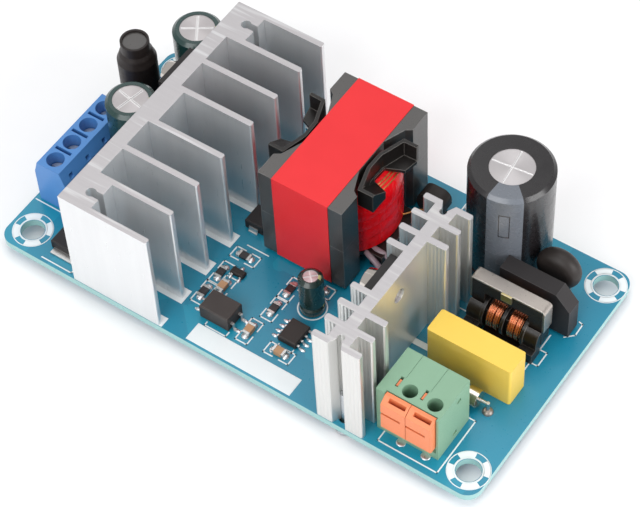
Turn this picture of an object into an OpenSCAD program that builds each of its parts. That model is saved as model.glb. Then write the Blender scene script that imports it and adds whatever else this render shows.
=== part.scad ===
// Open frame AC-DC power supply: a bare circuit board with its parts soldered on.
// X runs from the output end (-) to the mains end (+), Y from the front edge (-) to the
// back edge (+), Z up. The origin is the centre of the four mounting holes, at the underside
// of the board. Heights of parts are given above the top face of the board.

/* [Board] */
// Length of the board along X
board_l = 107; // [107:1:130]
// Width of the board along Y
board_w = 57; // [57:1:70]
// Thickness of the board
board_t = 1.6; // [0.8:0.1:3.2]
// Radius of the board's corners
board_corner_r = 3; // [1:0.5:4]
// Spacing of the mounting holes along X
hole_pitch_x = 98.4; // [90:0.1:99]
// Spacing of the mounting holes along Y
hole_pitch_y = 47.8; // [44:0.1:49]
// Diameter of the mounting holes
hole_d = 4.7; // [3:0.1:5]
// Distance from the board's output end to the first holes
hole_inset_x = 4.7; // [4:0.1:6]
// Distance from the board's front edge to the first holes
hole_inset_y = 4.9; // [4:0.1:6]

/* [Leads and solder] */
// Diameter of the plated holes for round leads
lead_hole_d = 1.1; // [0.9:0.1:1.4]
// Diameter of the round leads
lead_d = 0.7; // [0.5:0.1:0.8]
// How far the trimmed leads reach below the board
tail_l = 2.0; // [1.9:0.1:3]
// Diameter of a solder cone at the board
solder_d = 2.0; // [1.6:0.1:2.4]
// Height of a solder cone
solder_h = 0.9; // [0.5:0.1:1.4]

/* [Output terminal] */
// Number of poles
dc_poles = 4; // [4]
// Pitch of the poles
dc_pitch = 5.08; // [5.08:0.02:5.2]
// Depth of the housing along X
dc_depth = 7.2; // [7:0.1:8]
// Height of the housing
dc_h = 11.4; // [11:0.1:14]
// Distance of the housing from the board's end
dc_edge = 1.1; // [0.5:0.1:2]
// Centre of the terminal along Y
dc_y = -6.75; // [-7.5:0.05:-6]
// Diameter of the screwdriver wells
dc_well_d = 3.55; // [3.5:0.05:3.7]
// Diameter of the clamping screws' heads
dc_head_d = 3.3; // [3:0.05:3.3]
// Diameter of the clamping screws' shanks
dc_shank_d = 2.4; // [2:0.1:2.5]
// Pitch of the clamping screws' thread
dc_thread_pitch = 0.5; // [0.4:0.05:0.6]
// Travel of each rising clamp
dc_clamp_travel = 1.2; // [0.8:0.1:1.3]

/* [Mains terminal] */
// Width of the housing along X
ac_w = 12.9; // [12.7:0.1:13.4]
// Depth of the housing along Y
ac_depth = 10.25; // [10:0.05:11]
// Height of the housing
ac_h = 12.6; // [12.4:0.1:14]
// Pitch of the two poles
ac_pitch = 5.2; // [5.08:0.02:5.3]
// Distance of the housing from the board's front edge
ac_edge = 3.7; // [3:0.1:4.5]
// Diameter of the wire holes
ac_wire_d = 2.85; // [2.4:0.05:3]
// How far the push buttons stand out of the housing
ac_button_out = 1.7; // [1.2:0.1:2]
// Travel of the push buttons
ac_button_travel = 1.5; // [1:0.1:1.6]

/* [Output capacitors] */
// Diameter of the sleeved output capacitors
ocap_d = 9.8; // [8:0.1:10]
// Height of the output capacitors
ocap_h = 21.4; // [16:0.1:26]
// Clearance between the capacitors, the terminal and the heatsink
ocap_gap = 0.25; // [0.2:0.05:0.6]
// Y place of the first output capacitor
ocap1_y = -0.9; // [-2:0.1:0]
// Y place of the second output capacitor
ocap2_y = 20.35; // [20:0.05:22]

/* [Output inductor] */
// Diameter of the sleeved inductor
coil_d = 7.8; // [6:0.1:8]
// Diameter of the sleeve's shrunk neck
coil_neck_d = 5.7; // [5:0.1:6]
// Height of the inductor
coil_h = 22; // [18:0.5:24]
// Y place of the inductor
coil_y = 10.9; // [10.5:0.1:11.5]

/* [Secondary heatsink] */
// Length of the extrusion along Y
hs2_l = 56.2; // [54:0.1:56.4]
// Depth of the extrusion along X
hs2_depth = 19.85; // [18:0.05:21]
// Height of both heatsinks
hs_h = 25.2; // [24:0.1:30]
// Thickness of the base slab
hs2_base = 3.2; // [2.8:0.1:4]
// Thickness of the base slab behind the middle bay
hs2_base_mid = 4.65; // [4.2:0.05:5]
// Thickness of the fins
hs2_fin_t = 1.2; // [1:0.1:1.8]
// Depth of the screw blocks in the end bays
hs2_block = 6.75; // [6.4:0.05:7]

/* [Primary heatsink] */
// Length of the extrusion along Y
hs1_l = 36.6; // [36:0.1:36.8]
// Depth of the extrusion along X, over the fins of both sides
hs1_depth = 10; // [9.6:0.1:10.2]
// Thickness of the base slab
hs1_base = 2.4; // [2:0.1:2.8]
// Pitch of the fins
hs1_pitch = 3.98; // [3.8:0.02:4.02]
// Thickness of the fins
hs1_fin_t = 1.3; // [1:0.1:1.5]
// Distance from the transformer's axis to the tips of the near fins
hs1_from_transformer = 19.9; // [19:0.1:20.2]

/* [Heatsink screws] */
// Diameter of the screw channels in the secondary heatsink
channel_d = 2; // [1.9:0.1:2.6]
// Width of the secondary heatsink's open slots
channel_slot = 1.4; // [1.2:0.1:1.8]
// Diameter of the screw channels in the primary heatsink
notch_d = 1.4; // [1.2:0.1:1.8]
// Width of the primary heatsink's flared notches at their mouths
notch_mouth = 2.8; // [2.2:0.1:3.2]
// Diameter of the heads of the screws below the board
board_screw_head_d = 4.6; // [4:0.1:5]

/* [Power transistors] */
// Width of the transistor bodies
to_w = 10; // [9.8:0.1:10.2]
// Thickness of the transistor bodies
to_t = 4.5; // [4:0.1:4.7]
// Height of the transistors' tops
to_top = 22.6; // [22:0.1:24]
// Height of the fastening screws
to_screw_z = 19.4; // [19:0.1:20]
// Y place of the output rectifier
rectifier_y = 9.7; // [9.5:0.1:9.9]

/* [Transformer] */
// X place of the transformer's axis
tr_x = 0; // [-0.5:0.1:0.3]
// Y place of the transformer's axis
tr_y = 10.7; // [10.2:0.1:11]
// Length of the core along Y
tr_l = 28.4; // [27.6:0.1:28.8]
// Width of the core along X
tr_w = 18.4; // [18:0.1:18.8]
// Height of the core's top
tr_top = 23.3; // [22:0.1:26]
// Height of the core's underside
tr_base = 0.8; // [0.5:0.1:1]
// Thickness of the core's upper plate
tr_plate = 4; // [3.6:0.1:4.4]
// Thickness of the core's lower plate
tr_plate_low = 2; // [1.8:0.1:3]
// Diameter of the centre post
tr_post_d = 12; // [11:0.1:12.4]
// Diameter of the winding with its tape
tr_coil_d = 22; // [21:0.1:22.2]
// Width of the tape round the core
tr_tape_w = 12.3; // [10:0.1:12.4]

/* [Bulk capacitor] */
// Diameter of the sleeved bulk capacitor
bulk_d = 16.2; // [14:0.1:16.3]
// Height of the bulk capacitor
bulk_h = 26.8; // [20:0.1:32]
// X place of the bulk capacitor
bulk_x = 30.4; // [30.1:0.1:30.5]
// Y place of the bulk capacitor
bulk_y = 19.9; // [19.5:0.1:20.2]

/* [Bridge rectifier] */
// Width of the bridge rectifier along X
bridge_w = 14.8; // [14:0.1:15]
// Thickness of the bridge rectifier along Y
bridge_t = 3.3; // [3:0.1:3.4]
// Height of the bridge rectifier's top
bridge_h = 11.4; // [10:0.1:13]

/* [Thermistor] */
// Diameter of the thermistor's disc
ntc_d = 9; // [8:0.1:9]
// Thickness of the thermistor's disc
ntc_t = 4; // [3:0.1:4.2]
// Height of the disc's centre
ntc_z = 8.8; // [7.5:0.1:9]

/* [Suppression capacitor] */
// Width of the suppression capacitor
sup_w = 5.7; // [5.4:0.1:6.2]
// Height of the suppression capacitor's body
sup_h = 4.9; // [4.6:0.1:6]
// Thickness of the suppression capacitor
sup_t = 3.4; // [3:0.1:4]

/* [Mains choke] */
// Length of the core along X
choke_l = 14.8; // [14.4:0.1:15]
// Height of the core
choke_h = 9.7; // [9.4:0.1:10.4]
// Section of the core's limbs
choke_limb = 2.7; // [2.5:0.1:2.9]
// Outer diameter of the windings
choke_coil_d = 6.4; // [6:0.1:6.6]
// Height of the core's underside
choke_base = 2.2; // [2:0.1:2.4]
// Thickness of the steel clip
clip_t = 0.4; // [0.3:0.05:0.5]

/* [Mains capacitor] */
// Length of the mains capacitor along X
xcap_l = 17.7; // [17:0.1:18]
// Thickness of the mains capacitor along Y
xcap_t = 5.3; // [5:0.1:5.5]
// Height of the mains capacitor
xcap_h = 10.2; // [9:0.1:12]
// Pitch of the mains capacitor's leads
xcap_pitch = 15; // [10:0.5:15]

/* [Fuse] */
// Diameter of the fuse
fuse_d = 3.6; // [3:0.1:3.8]
// Length of the fuse
fuse_l = 10; // [9:0.1:10.4]

/* [Control parts] */
// Diameter of the control supply's capacitor
vcap_d = 4.8; // [4:0.1:5]
// Height of the control supply's capacitor
vcap_h = 10; // [7:0.1:12]
// Length of the chip resistors and capacitors
chip_l = 2.6; // [2:0.1:3.3]
// Width of the chip resistors and capacitors
chip_w = 1.5; // [1.2:0.1:1.7]
// Height of the chip resistors
chip_h = 0.6; // [0.5:0.05:0.8]

/* [Hidden] */

eps = 0.01;                 // overlap of cutting tools
fit = 0.02;                 // radial gap of parts that are seated in each other
run = 0.06;                 // radial gap of parts that turn or slide
$fn = 48;

// Board
board_x0 = -hole_pitch_x / 2 - hole_inset_x;
board_y0 = -hole_pitch_y / 2 - hole_inset_y;
board_x1 = board_x0 + board_l;
board_y1 = board_y0 + board_w;
hole_r = hole_d / 2;
lead_r = lead_d / 2;

// Output terminal
dc_x0 = board_x0 + dc_edge;
dc_x1 = dc_x0 + dc_depth;
dc_end_wall = 0.04;
dc_l = dc_poles * dc_pitch + 2 * dc_end_wall;
dc_screw_x = dc_x0 + 3.45;
dc_top_x0 = dc_x0 + 0.9;
dc_top_x1 = dc_x1 - 1;
dc_slope_z = 3;
dc_roof_z = dc_h - 5;
dc_shelf_z = dc_roof_z + 0.6;
dc_head_h = 1.4;
dc_wall = 0.6;
dc_cage_l = 4;
dc_cage_w = dc_shank_d + 1;
dc_cage_h = 4.4;
dc_cage_wall = 0.5;
dc_cage_top = 1;
dc_cage_z = dc_roof_z - 0.1 - dc_clamp_travel - dc_cage_h;
dc_cage_gap = 0.15;
dc_bar_t = 0.5;
dc_bar_w = 2;
dc_bar_z = dc_cage_z + dc_cage_h - dc_cage_top - 0.1 - dc_bar_t;
dc_bar_x1 = dc_x1 - dc_wall - 0.1;
dc_pin_x = dc_bar_x1 - dc_bar_t / 2;

// Output capacitors, the heatsink behind them and the inductor
ocap_x = dc_x1 + ocap_gap + ocap_d / 2;
ocap_places = [[ocap_x, ocap1_y], [ocap_x, ocap2_y]];
ocap_pitch = 5;
coil_x = dc_x0 + coil_d / 2 + 0.55;
coil_pitch = 4;
hs2_x0 = dc_x1 + 2 * ocap_gap + ocap_d;
hs2_x1 = hs2_x0 + hs2_depth;
hs2_y = board_y0 + 0.05 + hs2_l / 2;
hs2_fins = [4.55, 12.3, 20.1, (hs2_l - hs2_fin_t) / 2];
hs2_channel_x = hs2_x0 + 4.55;
hs2_channel_y = (hs2_fins[2] + hs2_fins[3]) / 2 + 0.25;

// Transformer
tr_post_r = tr_post_d / 2;
tr_coil_r = tr_coil_d / 2;
tr_window_r = tr_coil_r + 0.3;
tr_mid = (tr_base + tr_top) / 2;
tr_neck = tr_w / 2 - 3;
tr_tape_t = 0.12;
tr_winding_tape_t = 0.25;
bobbin_wall = 0.6;
bobbin_flange = 0.8;
bobbin_z0 = tr_base + tr_plate_low + 0.1;
bobbin_z1 = tr_top - tr_plate - 0.1;
bobbin_reach = tr_w / 2 + 2.7;
bobbin_foot_w = 2.8;
bobbin_foot_l = 12.8;
bobbin_foot_x = bobbin_reach + 0.4 - bobbin_foot_w / 2;
arm_wall_t = 0.7;
arm_h = 3.7;
tr_pin_pitch = 3.75;
tr_wire_d = 1.3;

// Primary heatsink
hs1_x0 = tr_x + hs1_from_transformer;
hs1_x1 = hs1_x0 + hs1_depth;
hs1_mid = hs1_x0 + 4.9;
hs1_face0 = hs1_mid - hs1_base / 2;
hs1_face1 = hs1_mid + hs1_base / 2;
hs1_y = board_y0 + 0.05 + hs1_l / 2;
hs1_first = (hs1_l - hs1_fin_t) / 2;
hs1_near = [for (i = [0:3]) hs1_first - i * hs1_pitch];
hs1_far = [for (i = [0:2]) hs1_first - i * hs1_pitch];
hs1_block_w = 4.5;
hs1_channel_in = 2.1;
hs1_channel_y = hs1_l / 2 - hs1_channel_in;
notch_neck = notch_d / 4;

// Heatsink screws
screw_core_r = [for (d = [channel_d, channel_d, notch_d, notch_d]) d / 2 - fit];
board_screw_head_h = 1.7;
board_screw_l = 8;
screw_places = [
    [hs2_channel_x, hs2_y - hs2_channel_y], [hs2_channel_x, hs2_y + hs2_channel_y],
    [hs1_mid, hs1_y - hs1_channel_y], [hs1_mid, hs1_y + hs1_channel_y]
];

// Power transistors
to_tab_t = 2.6;
to_body_h = 9;
to_tab_h = 6.6;
to_bottom = to_top - to_tab_h - to_body_h;
to_lead_pitch = 2.54;
to_lead_t = 0.5;
to_lead_w = 0.8;
to_screw_d = 3;
to_screw_l = 1.9;
to_head_d = 5.6;
to_head_h = 2;
to_lead_out = 1.9;
to_lead_x1 = hs1_face0 - to_lead_out;
to_lead_x2 = hs2_x0 - to_lead_out;

// Bulk capacitor
bulk_at = [bulk_x, bulk_y];
bulk_pitch = 7.5;

// Mains terminal
ac_x0 = hs1_x1 + 0.75;
ac_x1 = ac_x0 + ac_w;
ac_y0 = board_y0 + ac_edge;
ac_y1 = ac_y0 + ac_depth;
ac_pole_x = [ac_x1 - 2.3 - ac_pitch, ac_x1 - 2.3];
ac_wire_y = ac_y0 + 2.65;
ac_slot_dx = 2.65;
ac_slot_w = 0.6;
ac_slot_y0 = ac_y0 + 2.2;
ac_slot_y1 = ac_y0 + 4.5;
ac_button_gap = 0.1;
ac_button_w = ac_pitch - ac_button_gap;
ac_button_x0 = ac_pole_x[0] - ac_slot_dx - 0.8;
ac_button_z0 = 3.6;
ac_button_z1 = ac_h - 0.2;
ac_recess = 0.7;
ac_web_t = 0.44;
ac_web_z0 = ac_h - 4.4;
ac_web_z1 = ac_h - 1.4;
ac_chamber_h = 6;
ac_chamber_w = 3.8;
ac_floor = 0.8;
ac_pin_y = [ac_y0 + 2.4, ac_y1 - 2.6];
ac_contact_t = 0.8;

// Mains capacitor, fuse, choke, bridge rectifier and thermistor stand one behind the other
xcap_x0 = hs1_x1 + 0.45;
xcap_x = xcap_x0 + xcap_l / 2;
xcap_y0 = ac_y1 + 6.45;
xcap_y = xcap_y0 + xcap_t / 2;
fuse_y = ac_y1 + 3.15;
fuse_x = ac_x0 + 8.1;
fuse_z = 2.6;
fuse_cap_l = 2.4;
fuse_bore = 0.5;
fuse_reach = 1.8;
choke_x0 = hs1_x1 + 2.0;
choke_x = choke_x0 + choke_l / 2;
choke_y0 = xcap_y0 + xcap_t + 7.6;
choke_y = choke_y0 + choke_limb / 2;
choke_z = choke_base + choke_limb / 2;
choke_top = choke_base + choke_h;
choke_flange_t = 0.6;
choke_coil_gap = 0.35;
choke_inner_l = choke_l - 2 * choke_limb;
choke_coil_w = choke_inner_l / 2 - 0.1 - 1.5 * choke_flange_t - 2 * choke_coil_gap;
choke_flange = 2 * (choke_z - 0.1);
choke_drum_r = choke_flange / 2 - 0.15;
choke_block = [3, 3, 2.6];
choke_pin_dx = choke_l / 2 - choke_block[0] / 2;
choke_front_gap = 0.3;
choke_pin_y = choke_y0 - choke_front_gap - choke_block[1] / 2;
bridge_x1 = hs1_x1 + 19.5;
bridge_x = bridge_x1 - bridge_w / 2;
bridge_y0 = choke_y0 + choke_limb + clip_t + 2;
bridge_y = bridge_y0 + bridge_t / 2;
bridge_z0 = 0.6;
bridge_pitch = 3.81;
ntc_x = bulk_x + bulk_d / 2 + 4.3;
ntc_y = bridge_y0 + bridge_t + 2.1 + ntc_t / 2;
ntc_pitch = 5;
sup_x = tr_x + tr_w / 2 + sup_w / 2 + 0.7;
sup_y = tr_y + tr_l / 2 - 3.2;
sup_z0 = 0.5;
sup_r = 1.9;
sup_pitch = 5;

// Control parts between the heatsinks
vcap_at = [tr_x + 6.2, tr_y - 20.6];
vcap_pitch = 2;
opto_at = [hs2_x1 + 8.45, board_y0 + 8.3];
opto_size = [6.4, 4.6, 3.5];
opto_pitch = 2.54;
chip_at = [hs1_x0 - 12.95, board_y0 + 11.9];
chip_size = [3.9, 4.9, 1.5];
chip_pitch = 1.27;
sot_at = [hs2_x1 + 5.55, board_y0 + 17.7];
sot_size = [2.9, 1.4, 1.0];
diode_at = [hs2_x1 + 2.15, tr_y - 9.65];
diode_size = [4, 4.5, 2.4];
dpak_at = [hs2_x0 - 4.9, board_y0 + 6.7];
dpak_size = [6.6, 6.1, 2.3];
// [x, y, turn] of each chip: turn 90 lies along Y
resistor_places = [
    [hs2_x1 + 2.6, board_y0 + 16.15, 90], [hs2_x1 + 2.5, board_y0 + 10.85, 90],
    [hs2_x1 + 4.15, board_y0 + 21.7, 0], [tr_x + 0.4, board_y0 + 20, 90],
    [tr_x + 0.35, board_y0 + 14.8, 90], [tr_x + 4.95, tr_y - tr_l / 2 - 2.1, 0]
];
capacitor_places = [
    [hs2_x1 + 4.9, board_y0 + 13.6, 90], [tr_x - 0.6, board_y0 + 8.2, 90],
    [tr_x + 6.85, board_y0 + 7.2, 0]
];
chip_cap_h = 1.1;
chip_end = 0.5;

// Places of all the leads that pass through the board
function pair(at, pitch, along_y = false) =
    [for (s = [-0.5, 0.5]) along_y ? [at[0], at[1] + s * pitch] : [at[0] + s * pitch, at[1]]];
dc_ys = [for (i = [0:dc_poles - 1]) dc_y + (i - (dc_poles - 1) / 2) * dc_pitch];
dc_pins = [for (y = dc_ys) [dc_pin_x, y]];
ac_pins = [for (x = ac_pole_x, y = ac_pin_y) [x, y]];
tr_pin_rows = [for (s = [-1, 1], i = [-1.5:1:1.5]) [tr_x + s * bobbin_foot_x, tr_y + i * tr_pin_pitch]];
tr_wire_pads = [[tr_x + 13.6, tr_y - 7.4], [tr_x + 14.8, tr_y - 4.6]];
transistor_pins = [for (i = [-1:1]) [to_lead_x1, hs1_y + i * to_lead_pitch]];
rectifier_pins = [for (i = [-1:1]) [to_lead_x2, rectifier_y + i * to_lead_pitch]];
bridge_pins = [for (i = [-1.5:1:1.5]) [bridge_x + i * bridge_pitch, bridge_y]];
choke_pins = [for (s = [-1, 1], d = [-0.9, 0.9]) [choke_x + s * choke_pin_dx, choke_pin_y + d]];
fuse_pads = [for (s = [-1, 1]) [fuse_x + s * (fuse_l / 2 + fuse_reach), fuse_y]];
ocap_pins = [for (p = ocap_places) each pair(p, ocap_pitch, true)];
round_pins = concat(
    ocap_pins, pair([coil_x, coil_y], coil_pitch, true), pair(bulk_at, bulk_pitch),
    pair([ntc_x, ntc_y], ntc_pitch), pair([sup_x, sup_y], sup_pitch),
    pair([xcap_x, xcap_y], xcap_pitch), pair(vcap_at, vcap_pitch), fuse_pads
);
all_pins = concat(
    dc_pins, ac_pins, tr_pin_rows, tr_wire_pads, transistor_pins, rectifier_pins,
    bridge_pins, choke_pins, round_pins
);

// Moves its children up from the origin's plane to the top face of the board.
module on_board(at = [0, 0, 0]) {
    translate([at[0], at[1], (len(at) > 2 ? at[2] : 0) + board_t]) children();
}

// A box given by two opposite corners.
module block(from, to) {
    translate(from) cube(to - from);
}

// A flat plate with round corners, standing on z = 0 with its centre at the origin.
module round_plate(l, w, h, r) {
    linear_extrude(h) round_rect(l, w, r);
}

// The outline of a rectangle with round corners.
module round_rect(l, w, r) {
    square([l - 2 * r, w], center = true);
    square([l, w - 2 * r], center = true);
    for (sx = [-1, 1], sy = [-1, 1])
        translate([sx * (l / 2 - r), sy * (w / 2 - r)]) circle(r);
}

// A straight round rod between two points.
module rod(from, to, r) {
    d = to - from;
    len_d = norm(d);
    translate(from) rotate([0, acos(d[2] / len_d), atan2(d[1], d[0])]) cylinder(h = len_d, r = r);
}

// ---------------------------------------------------------------- board

module circuit_board() {
    color("#1f87a3") difference() {
        translate([(board_x0 + board_x1) / 2, (board_y0 + board_y1) / 2, 0])
            round_plate(board_l, board_w, board_t, board_corner_r);
        for (sx = [-1, 1], sy = [-1, 1])
            translate([sx * hole_pitch_x / 2, sy * hole_pitch_y / 2, -eps])
                cylinder(h = board_t + 2 * eps, r = hole_r);
        for (p = all_pins)
            translate([p[0], p[1], -eps]) cylinder(h = board_t + 2 * eps, d = lead_hole_d, $fn = 24);
        for (p = screw_places)
            translate([p[0], p[1], -eps]) cylinder(h = board_t + 2 * eps, r = channel_d / 2 + 0.15);
    }
}

// One joint: the filled hole, the cone below it and the trimmed end of the lead.
module solder_joint() {
    translate([0, 0, -tail_l]) cylinder(h = tail_l, r = lead_r, $fn = 24);
    translate([0, 0, -solder_h])
        cylinder(h = solder_h, r1 = lead_r + 0.1, r2 = solder_d / 2, $fn = 24);
    translate([0, 0, -eps]) cylinder(h = board_t + eps, r = lead_hole_d / 2 - fit, $fn = 24);
}

module solder_joints() {
    color("#c9cbcd") for (p = all_pins) translate([p[0], p[1], 0]) solder_joint();
}

// ---------------------------------------------------------------- output terminal

module dc_profile() {
    polygon([
        [dc_x0, 0], [dc_x1, 0], [dc_x1, dc_h - dc_slope_z], [dc_top_x1, dc_h],
        [dc_top_x0, dc_h], [dc_x0, dc_h - dc_slope_z]
    ]);
}

dc_window = 1.1;

// The space of one pole: the well, the shank's way, the clamp's chamber and the wire entry.
module dc_pole_space() {
    cage_y = dc_cage_w / 2 + dc_cage_gap;
    cage_x0 = dc_screw_x - dc_cage_l / 2 - dc_cage_gap;
    translate([dc_screw_x, 0, dc_shelf_z]) cylinder(h = dc_h, d = dc_well_d);
    translate([dc_screw_x, 0, dc_cage_z]) cylinder(h = dc_h - dc_cage_z, r = dc_shank_d / 2 + run);
    block([cage_x0, -cage_y, dc_cage_z - dc_cage_gap], [dc_x1 - dc_wall, cage_y, dc_roof_z]);
    block([dc_x0 - 1, -dc_cage_w / 2 + 0.1, dc_cage_z + dc_cage_wall],
          [cage_x0 + eps, dc_cage_w / 2 - 0.1, dc_cage_z + dc_cage_h - dc_cage_top]);
    block([dc_bar_x1 - dc_bar_t - 0.1, -dc_bar_w / 2 - 0.1, -1],
          [dc_bar_x1 + 0.1, dc_bar_w / 2 + 0.1, dc_cage_z]);
    block([dc_top_x1 - 0.2, -dc_window / 2, dc_h - 1.8 - dc_window], [dc_x1 + 1, dc_window / 2, dc_h - 1.8]);
}

module dc_terminal_housing() {
    slot_l = 3.7;
    slot_w = 0.7;
    slot_depth = 2.2;
    color("#4f8fdc") on_board() difference() {
        translate([0, dc_y + dc_l / 2, 0]) rotate([90, 0, 0]) linear_extrude(dc_l) dc_profile();
        for (y = dc_ys) translate([0, y, 0]) dc_pole_space();
        for (i = [1:dc_poles - 1])
            translate([dc_screw_x - 1.9, dc_y + (i - dc_poles / 2) * dc_pitch - slot_w / 2, dc_h - slot_depth])
                cube([slot_l, slot_w, slot_depth + 1]);
    }
}

module dc_terminal_pins() {
    color("#c9cbcd") on_board() for (y = dc_ys) translate([0, y, 0]) {
        block([dc_screw_x - 1.2, -dc_bar_w / 2, dc_bar_z], [dc_bar_x1, dc_bar_w / 2, dc_bar_z + dc_bar_t]);
        block([dc_bar_x1 - dc_bar_t, -dc_bar_w / 2, 0], [dc_bar_x1, dc_bar_w / 2, dc_bar_z + eps]);
    }
}

// A slotted clamping screw that turns in place.
module dc_screw(i) {
    slot_w = 0.6;
    slot_depth = 0.7;
    shank_z = dc_bar_z + dc_bar_t + 0.1;
    color("#c4c6c8") on_board([dc_screw_x, dc_ys[i], 0]) difference() {
        union() {
            translate([0, 0, dc_shelf_z]) cylinder(h = dc_head_h, d = dc_head_d);
            translate([0, 0, shank_z]) cylinder(h = dc_shelf_z - shank_z + eps, d = dc_shank_d);
        }
        translate([-dc_head_d, -slot_w / 2, dc_shelf_z + dc_head_h - slot_depth])
            cube([2 * dc_head_d, slot_w, slot_depth + 1]);
    }
}

// The rising clamp: a square loop that the screw lifts against the contact bar.
module dc_clamp(i) {
    x0 = dc_screw_x - dc_cage_l / 2;
    w = dc_cage_w / 2;
    color("#b9bbb4") on_board([0, dc_ys[i], 0]) difference() {
        block([x0, -w, dc_cage_z], [x0 + dc_cage_l, w, dc_cage_z + dc_cage_h]);
        block([x0 - 1, -w + dc_cage_wall, dc_cage_z + dc_cage_wall],
              [x0 + dc_cage_l + 1, w - dc_cage_wall, dc_cage_z + dc_cage_h - dc_cage_top]);
        translate([dc_screw_x, 0, dc_cage_z + dc_cage_wall])
            cylinder(h = dc_cage_h, r = dc_shank_d / 2 + run);
    }
}

module dc_terminal_screw_1() { dc_screw(0); }
module dc_terminal_screw_2() { dc_screw(1); }
module dc_terminal_screw_3() { dc_screw(2); }
module dc_terminal_screw_4() { dc_screw(3); }
module dc_terminal_clamp_1() { dc_clamp(0); }
module dc_terminal_clamp_2() { dc_clamp(1); }
module dc_terminal_clamp_3() { dc_clamp(2); }
module dc_terminal_clamp_4() { dc_clamp(3); }

// ---------------------------------------------------------------- mains terminal

module ac_terminal_housing() {
    recess_x1 = ac_button_x0 + 2 * ac_pitch + 0.1;
    seam_w = 0.08;
    color("#a3cbae") on_board() difference() {
        block([ac_x0, ac_y0, 0], [ac_x1, ac_y1, ac_h]);
        block([ac_button_x0 - 0.1, ac_y0 - 1, ac_button_z0 - ac_button_travel - 0.3],
              [recess_x1, ac_y0 + ac_recess, ac_h + 1]);
        for (x = ac_pole_x) translate([x, 0, 0]) {
            translate([0, ac_wire_y, ac_chamber_h - eps]) cylinder(h = ac_h, d = ac_wire_d);
            block([-ac_chamber_w / 2, ac_y0 + ac_recess + 0.8, ac_floor],
                  [ac_chamber_w / 2, ac_y1 - 1, ac_chamber_h]);
            block([-ac_slot_dx - ac_slot_w / 2, ac_slot_y0, ac_web_z1],
                  [-ac_slot_dx + ac_slot_w / 2, ac_slot_y1, ac_h + 1]);
            block([-ac_slot_dx - ac_slot_w / 2, ac_y0, ac_web_z0 - ac_button_travel - 0.2],
                  [-ac_slot_dx + ac_slot_w / 2, ac_slot_y1, ac_web_z1 + 0.1]);
            block([-ac_slot_dx + 0.5, ac_slot_y1, ac_h - seam_w],
                  [-ac_slot_dx + 0.5 + seam_w, ac_y1 + 1, ac_h + 1]);
            for (y = ac_pin_y) block([-0.65, y - 0.65, -1], [0.65, y + 0.65, ac_floor + eps]);
        }
        block([ac_x1 - 0.25, ac_y0 + 6.2, 9.9], [ac_x1 + 1, ac_y0 + 7.4, 10.9]);
        block([ac_x1 - 0.25, ac_y0 + 4.9, 1.3], [ac_x1 + 1, ac_y0 + 6.1, 2.3]);
    }
}

// A push button: a ribbed front, a screwdriver pocket in its slope and a web inside.
module ac_button(i) {
    x0 = ac_button_x0 + i * ac_pitch + ac_button_gap / 2;
    y_out = ac_y0 - ac_button_out;
    y_in = ac_y0 + ac_recess - 0.15;
    web_x = ac_pole_x[i] - ac_slot_dx;
    color("#f59a66") on_board() difference() {
        union() {
            translate([x0, 0, 0]) rotate([90, 0, 90]) linear_extrude(ac_button_w) polygon([
                [y_in, ac_button_z0], [y_out + 0.5, ac_button_z0], [y_out, ac_button_z0 + 0.5],
                [y_out, ac_h - 1.4], [ac_y0 - 0.1, ac_button_z1], [y_in, ac_button_z1]
            ]);
            block([web_x - ac_web_t / 2, y_in - eps, ac_web_z0],
                  [web_x + ac_web_t / 2, ac_slot_y1 - 0.3, ac_web_z1]);
            block([web_x - ac_web_t / 2, ac_slot_y0 + 0.3, ac_web_z1 - eps],
                  [web_x + ac_web_t / 2, ac_slot_y1 - 0.5, ac_h - 0.2]);
        }
        block([x0 + 1.1, y_out + 0.75, ac_h - 3.2], [x0 + ac_button_w - 0.5, y_out + 1.45, ac_h + 1]);
        block([x0 - 1, y_out - 1, 8.15], [x0 + ac_button_w - 1.1, y_out + 1.3, 8.75]);
    }
}

module ac_terminal_button_1() { ac_button(0); }
module ac_terminal_button_2() { ac_button(1); }

// A bent leaf spring in each pole, seen from the side as a loop with a straight leg.
module ac_terminal_springs() {
    loop_r = 1.9;
    loop_t = 0.3;
    loop_y = ac_y1 - 1.2 - loop_r;
    loop_z = ac_floor + ac_contact_t + 0.05 + loop_r;
    color("#c4c6c8") on_board() for (x = ac_pole_x)
        translate([x - 1.2, 0, 0]) rotate([90, 0, 90]) linear_extrude(2.4) {
            translate([loop_y, loop_z]) difference() {
                circle(loop_r);
                circle(loop_r - loop_t);
                translate([-2 * loop_r, -2 * loop_r]) square([2 * loop_r, 2 * loop_r]);
            }
            translate([loop_y - loop_r, loop_z - 0.9]) square([loop_t, 0.9 + eps]);
            translate([loop_y - 2.4, loop_z - loop_r]) square([2.4 + eps, loop_t]);
        }
}

module ac_terminal_contacts() {
    color("#c9cbcd") on_board() for (x = ac_pole_x) translate([x, 0, 0]) {
        block([-1.4, ac_pin_y[0] - 0.6, ac_floor], [1.4, ac_pin_y[1] + 0.6, ac_floor + ac_contact_t]);
        for (y = ac_pin_y) block([-0.45, y - 0.45, 0], [0.45, y + 0.45, ac_floor + eps]);
    }
}

// ---------------------------------------------------------------- electrolytic capacitors

// A drawn can with a rolled rim, a bead above the seal and a cross vent in its top.
module can(d, h, z0, vent_r, turn) {
    r = d / 2;
    bead = 0.35;
    rim = 0.7;
    vent = 0.15;
    difference() {
        rotate_extrude() polygon([
            [0, z0 + 0.5], [r - 0.7, z0 + 0.5], [r - 0.7, z0], [r, z0], [r, z0 + 1.4],
            [r - bead, z0 + 1.9], [r, z0 + 2.4], [r, h - rim], [r - rim, h], [0, h]
        ]);
        for (a = [turn, turn + 90]) rotate(a)
            translate([-vent_r, -0.12, h - vent]) cube([2 * vent_r, 0.24, 1]);
    }
}

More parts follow.
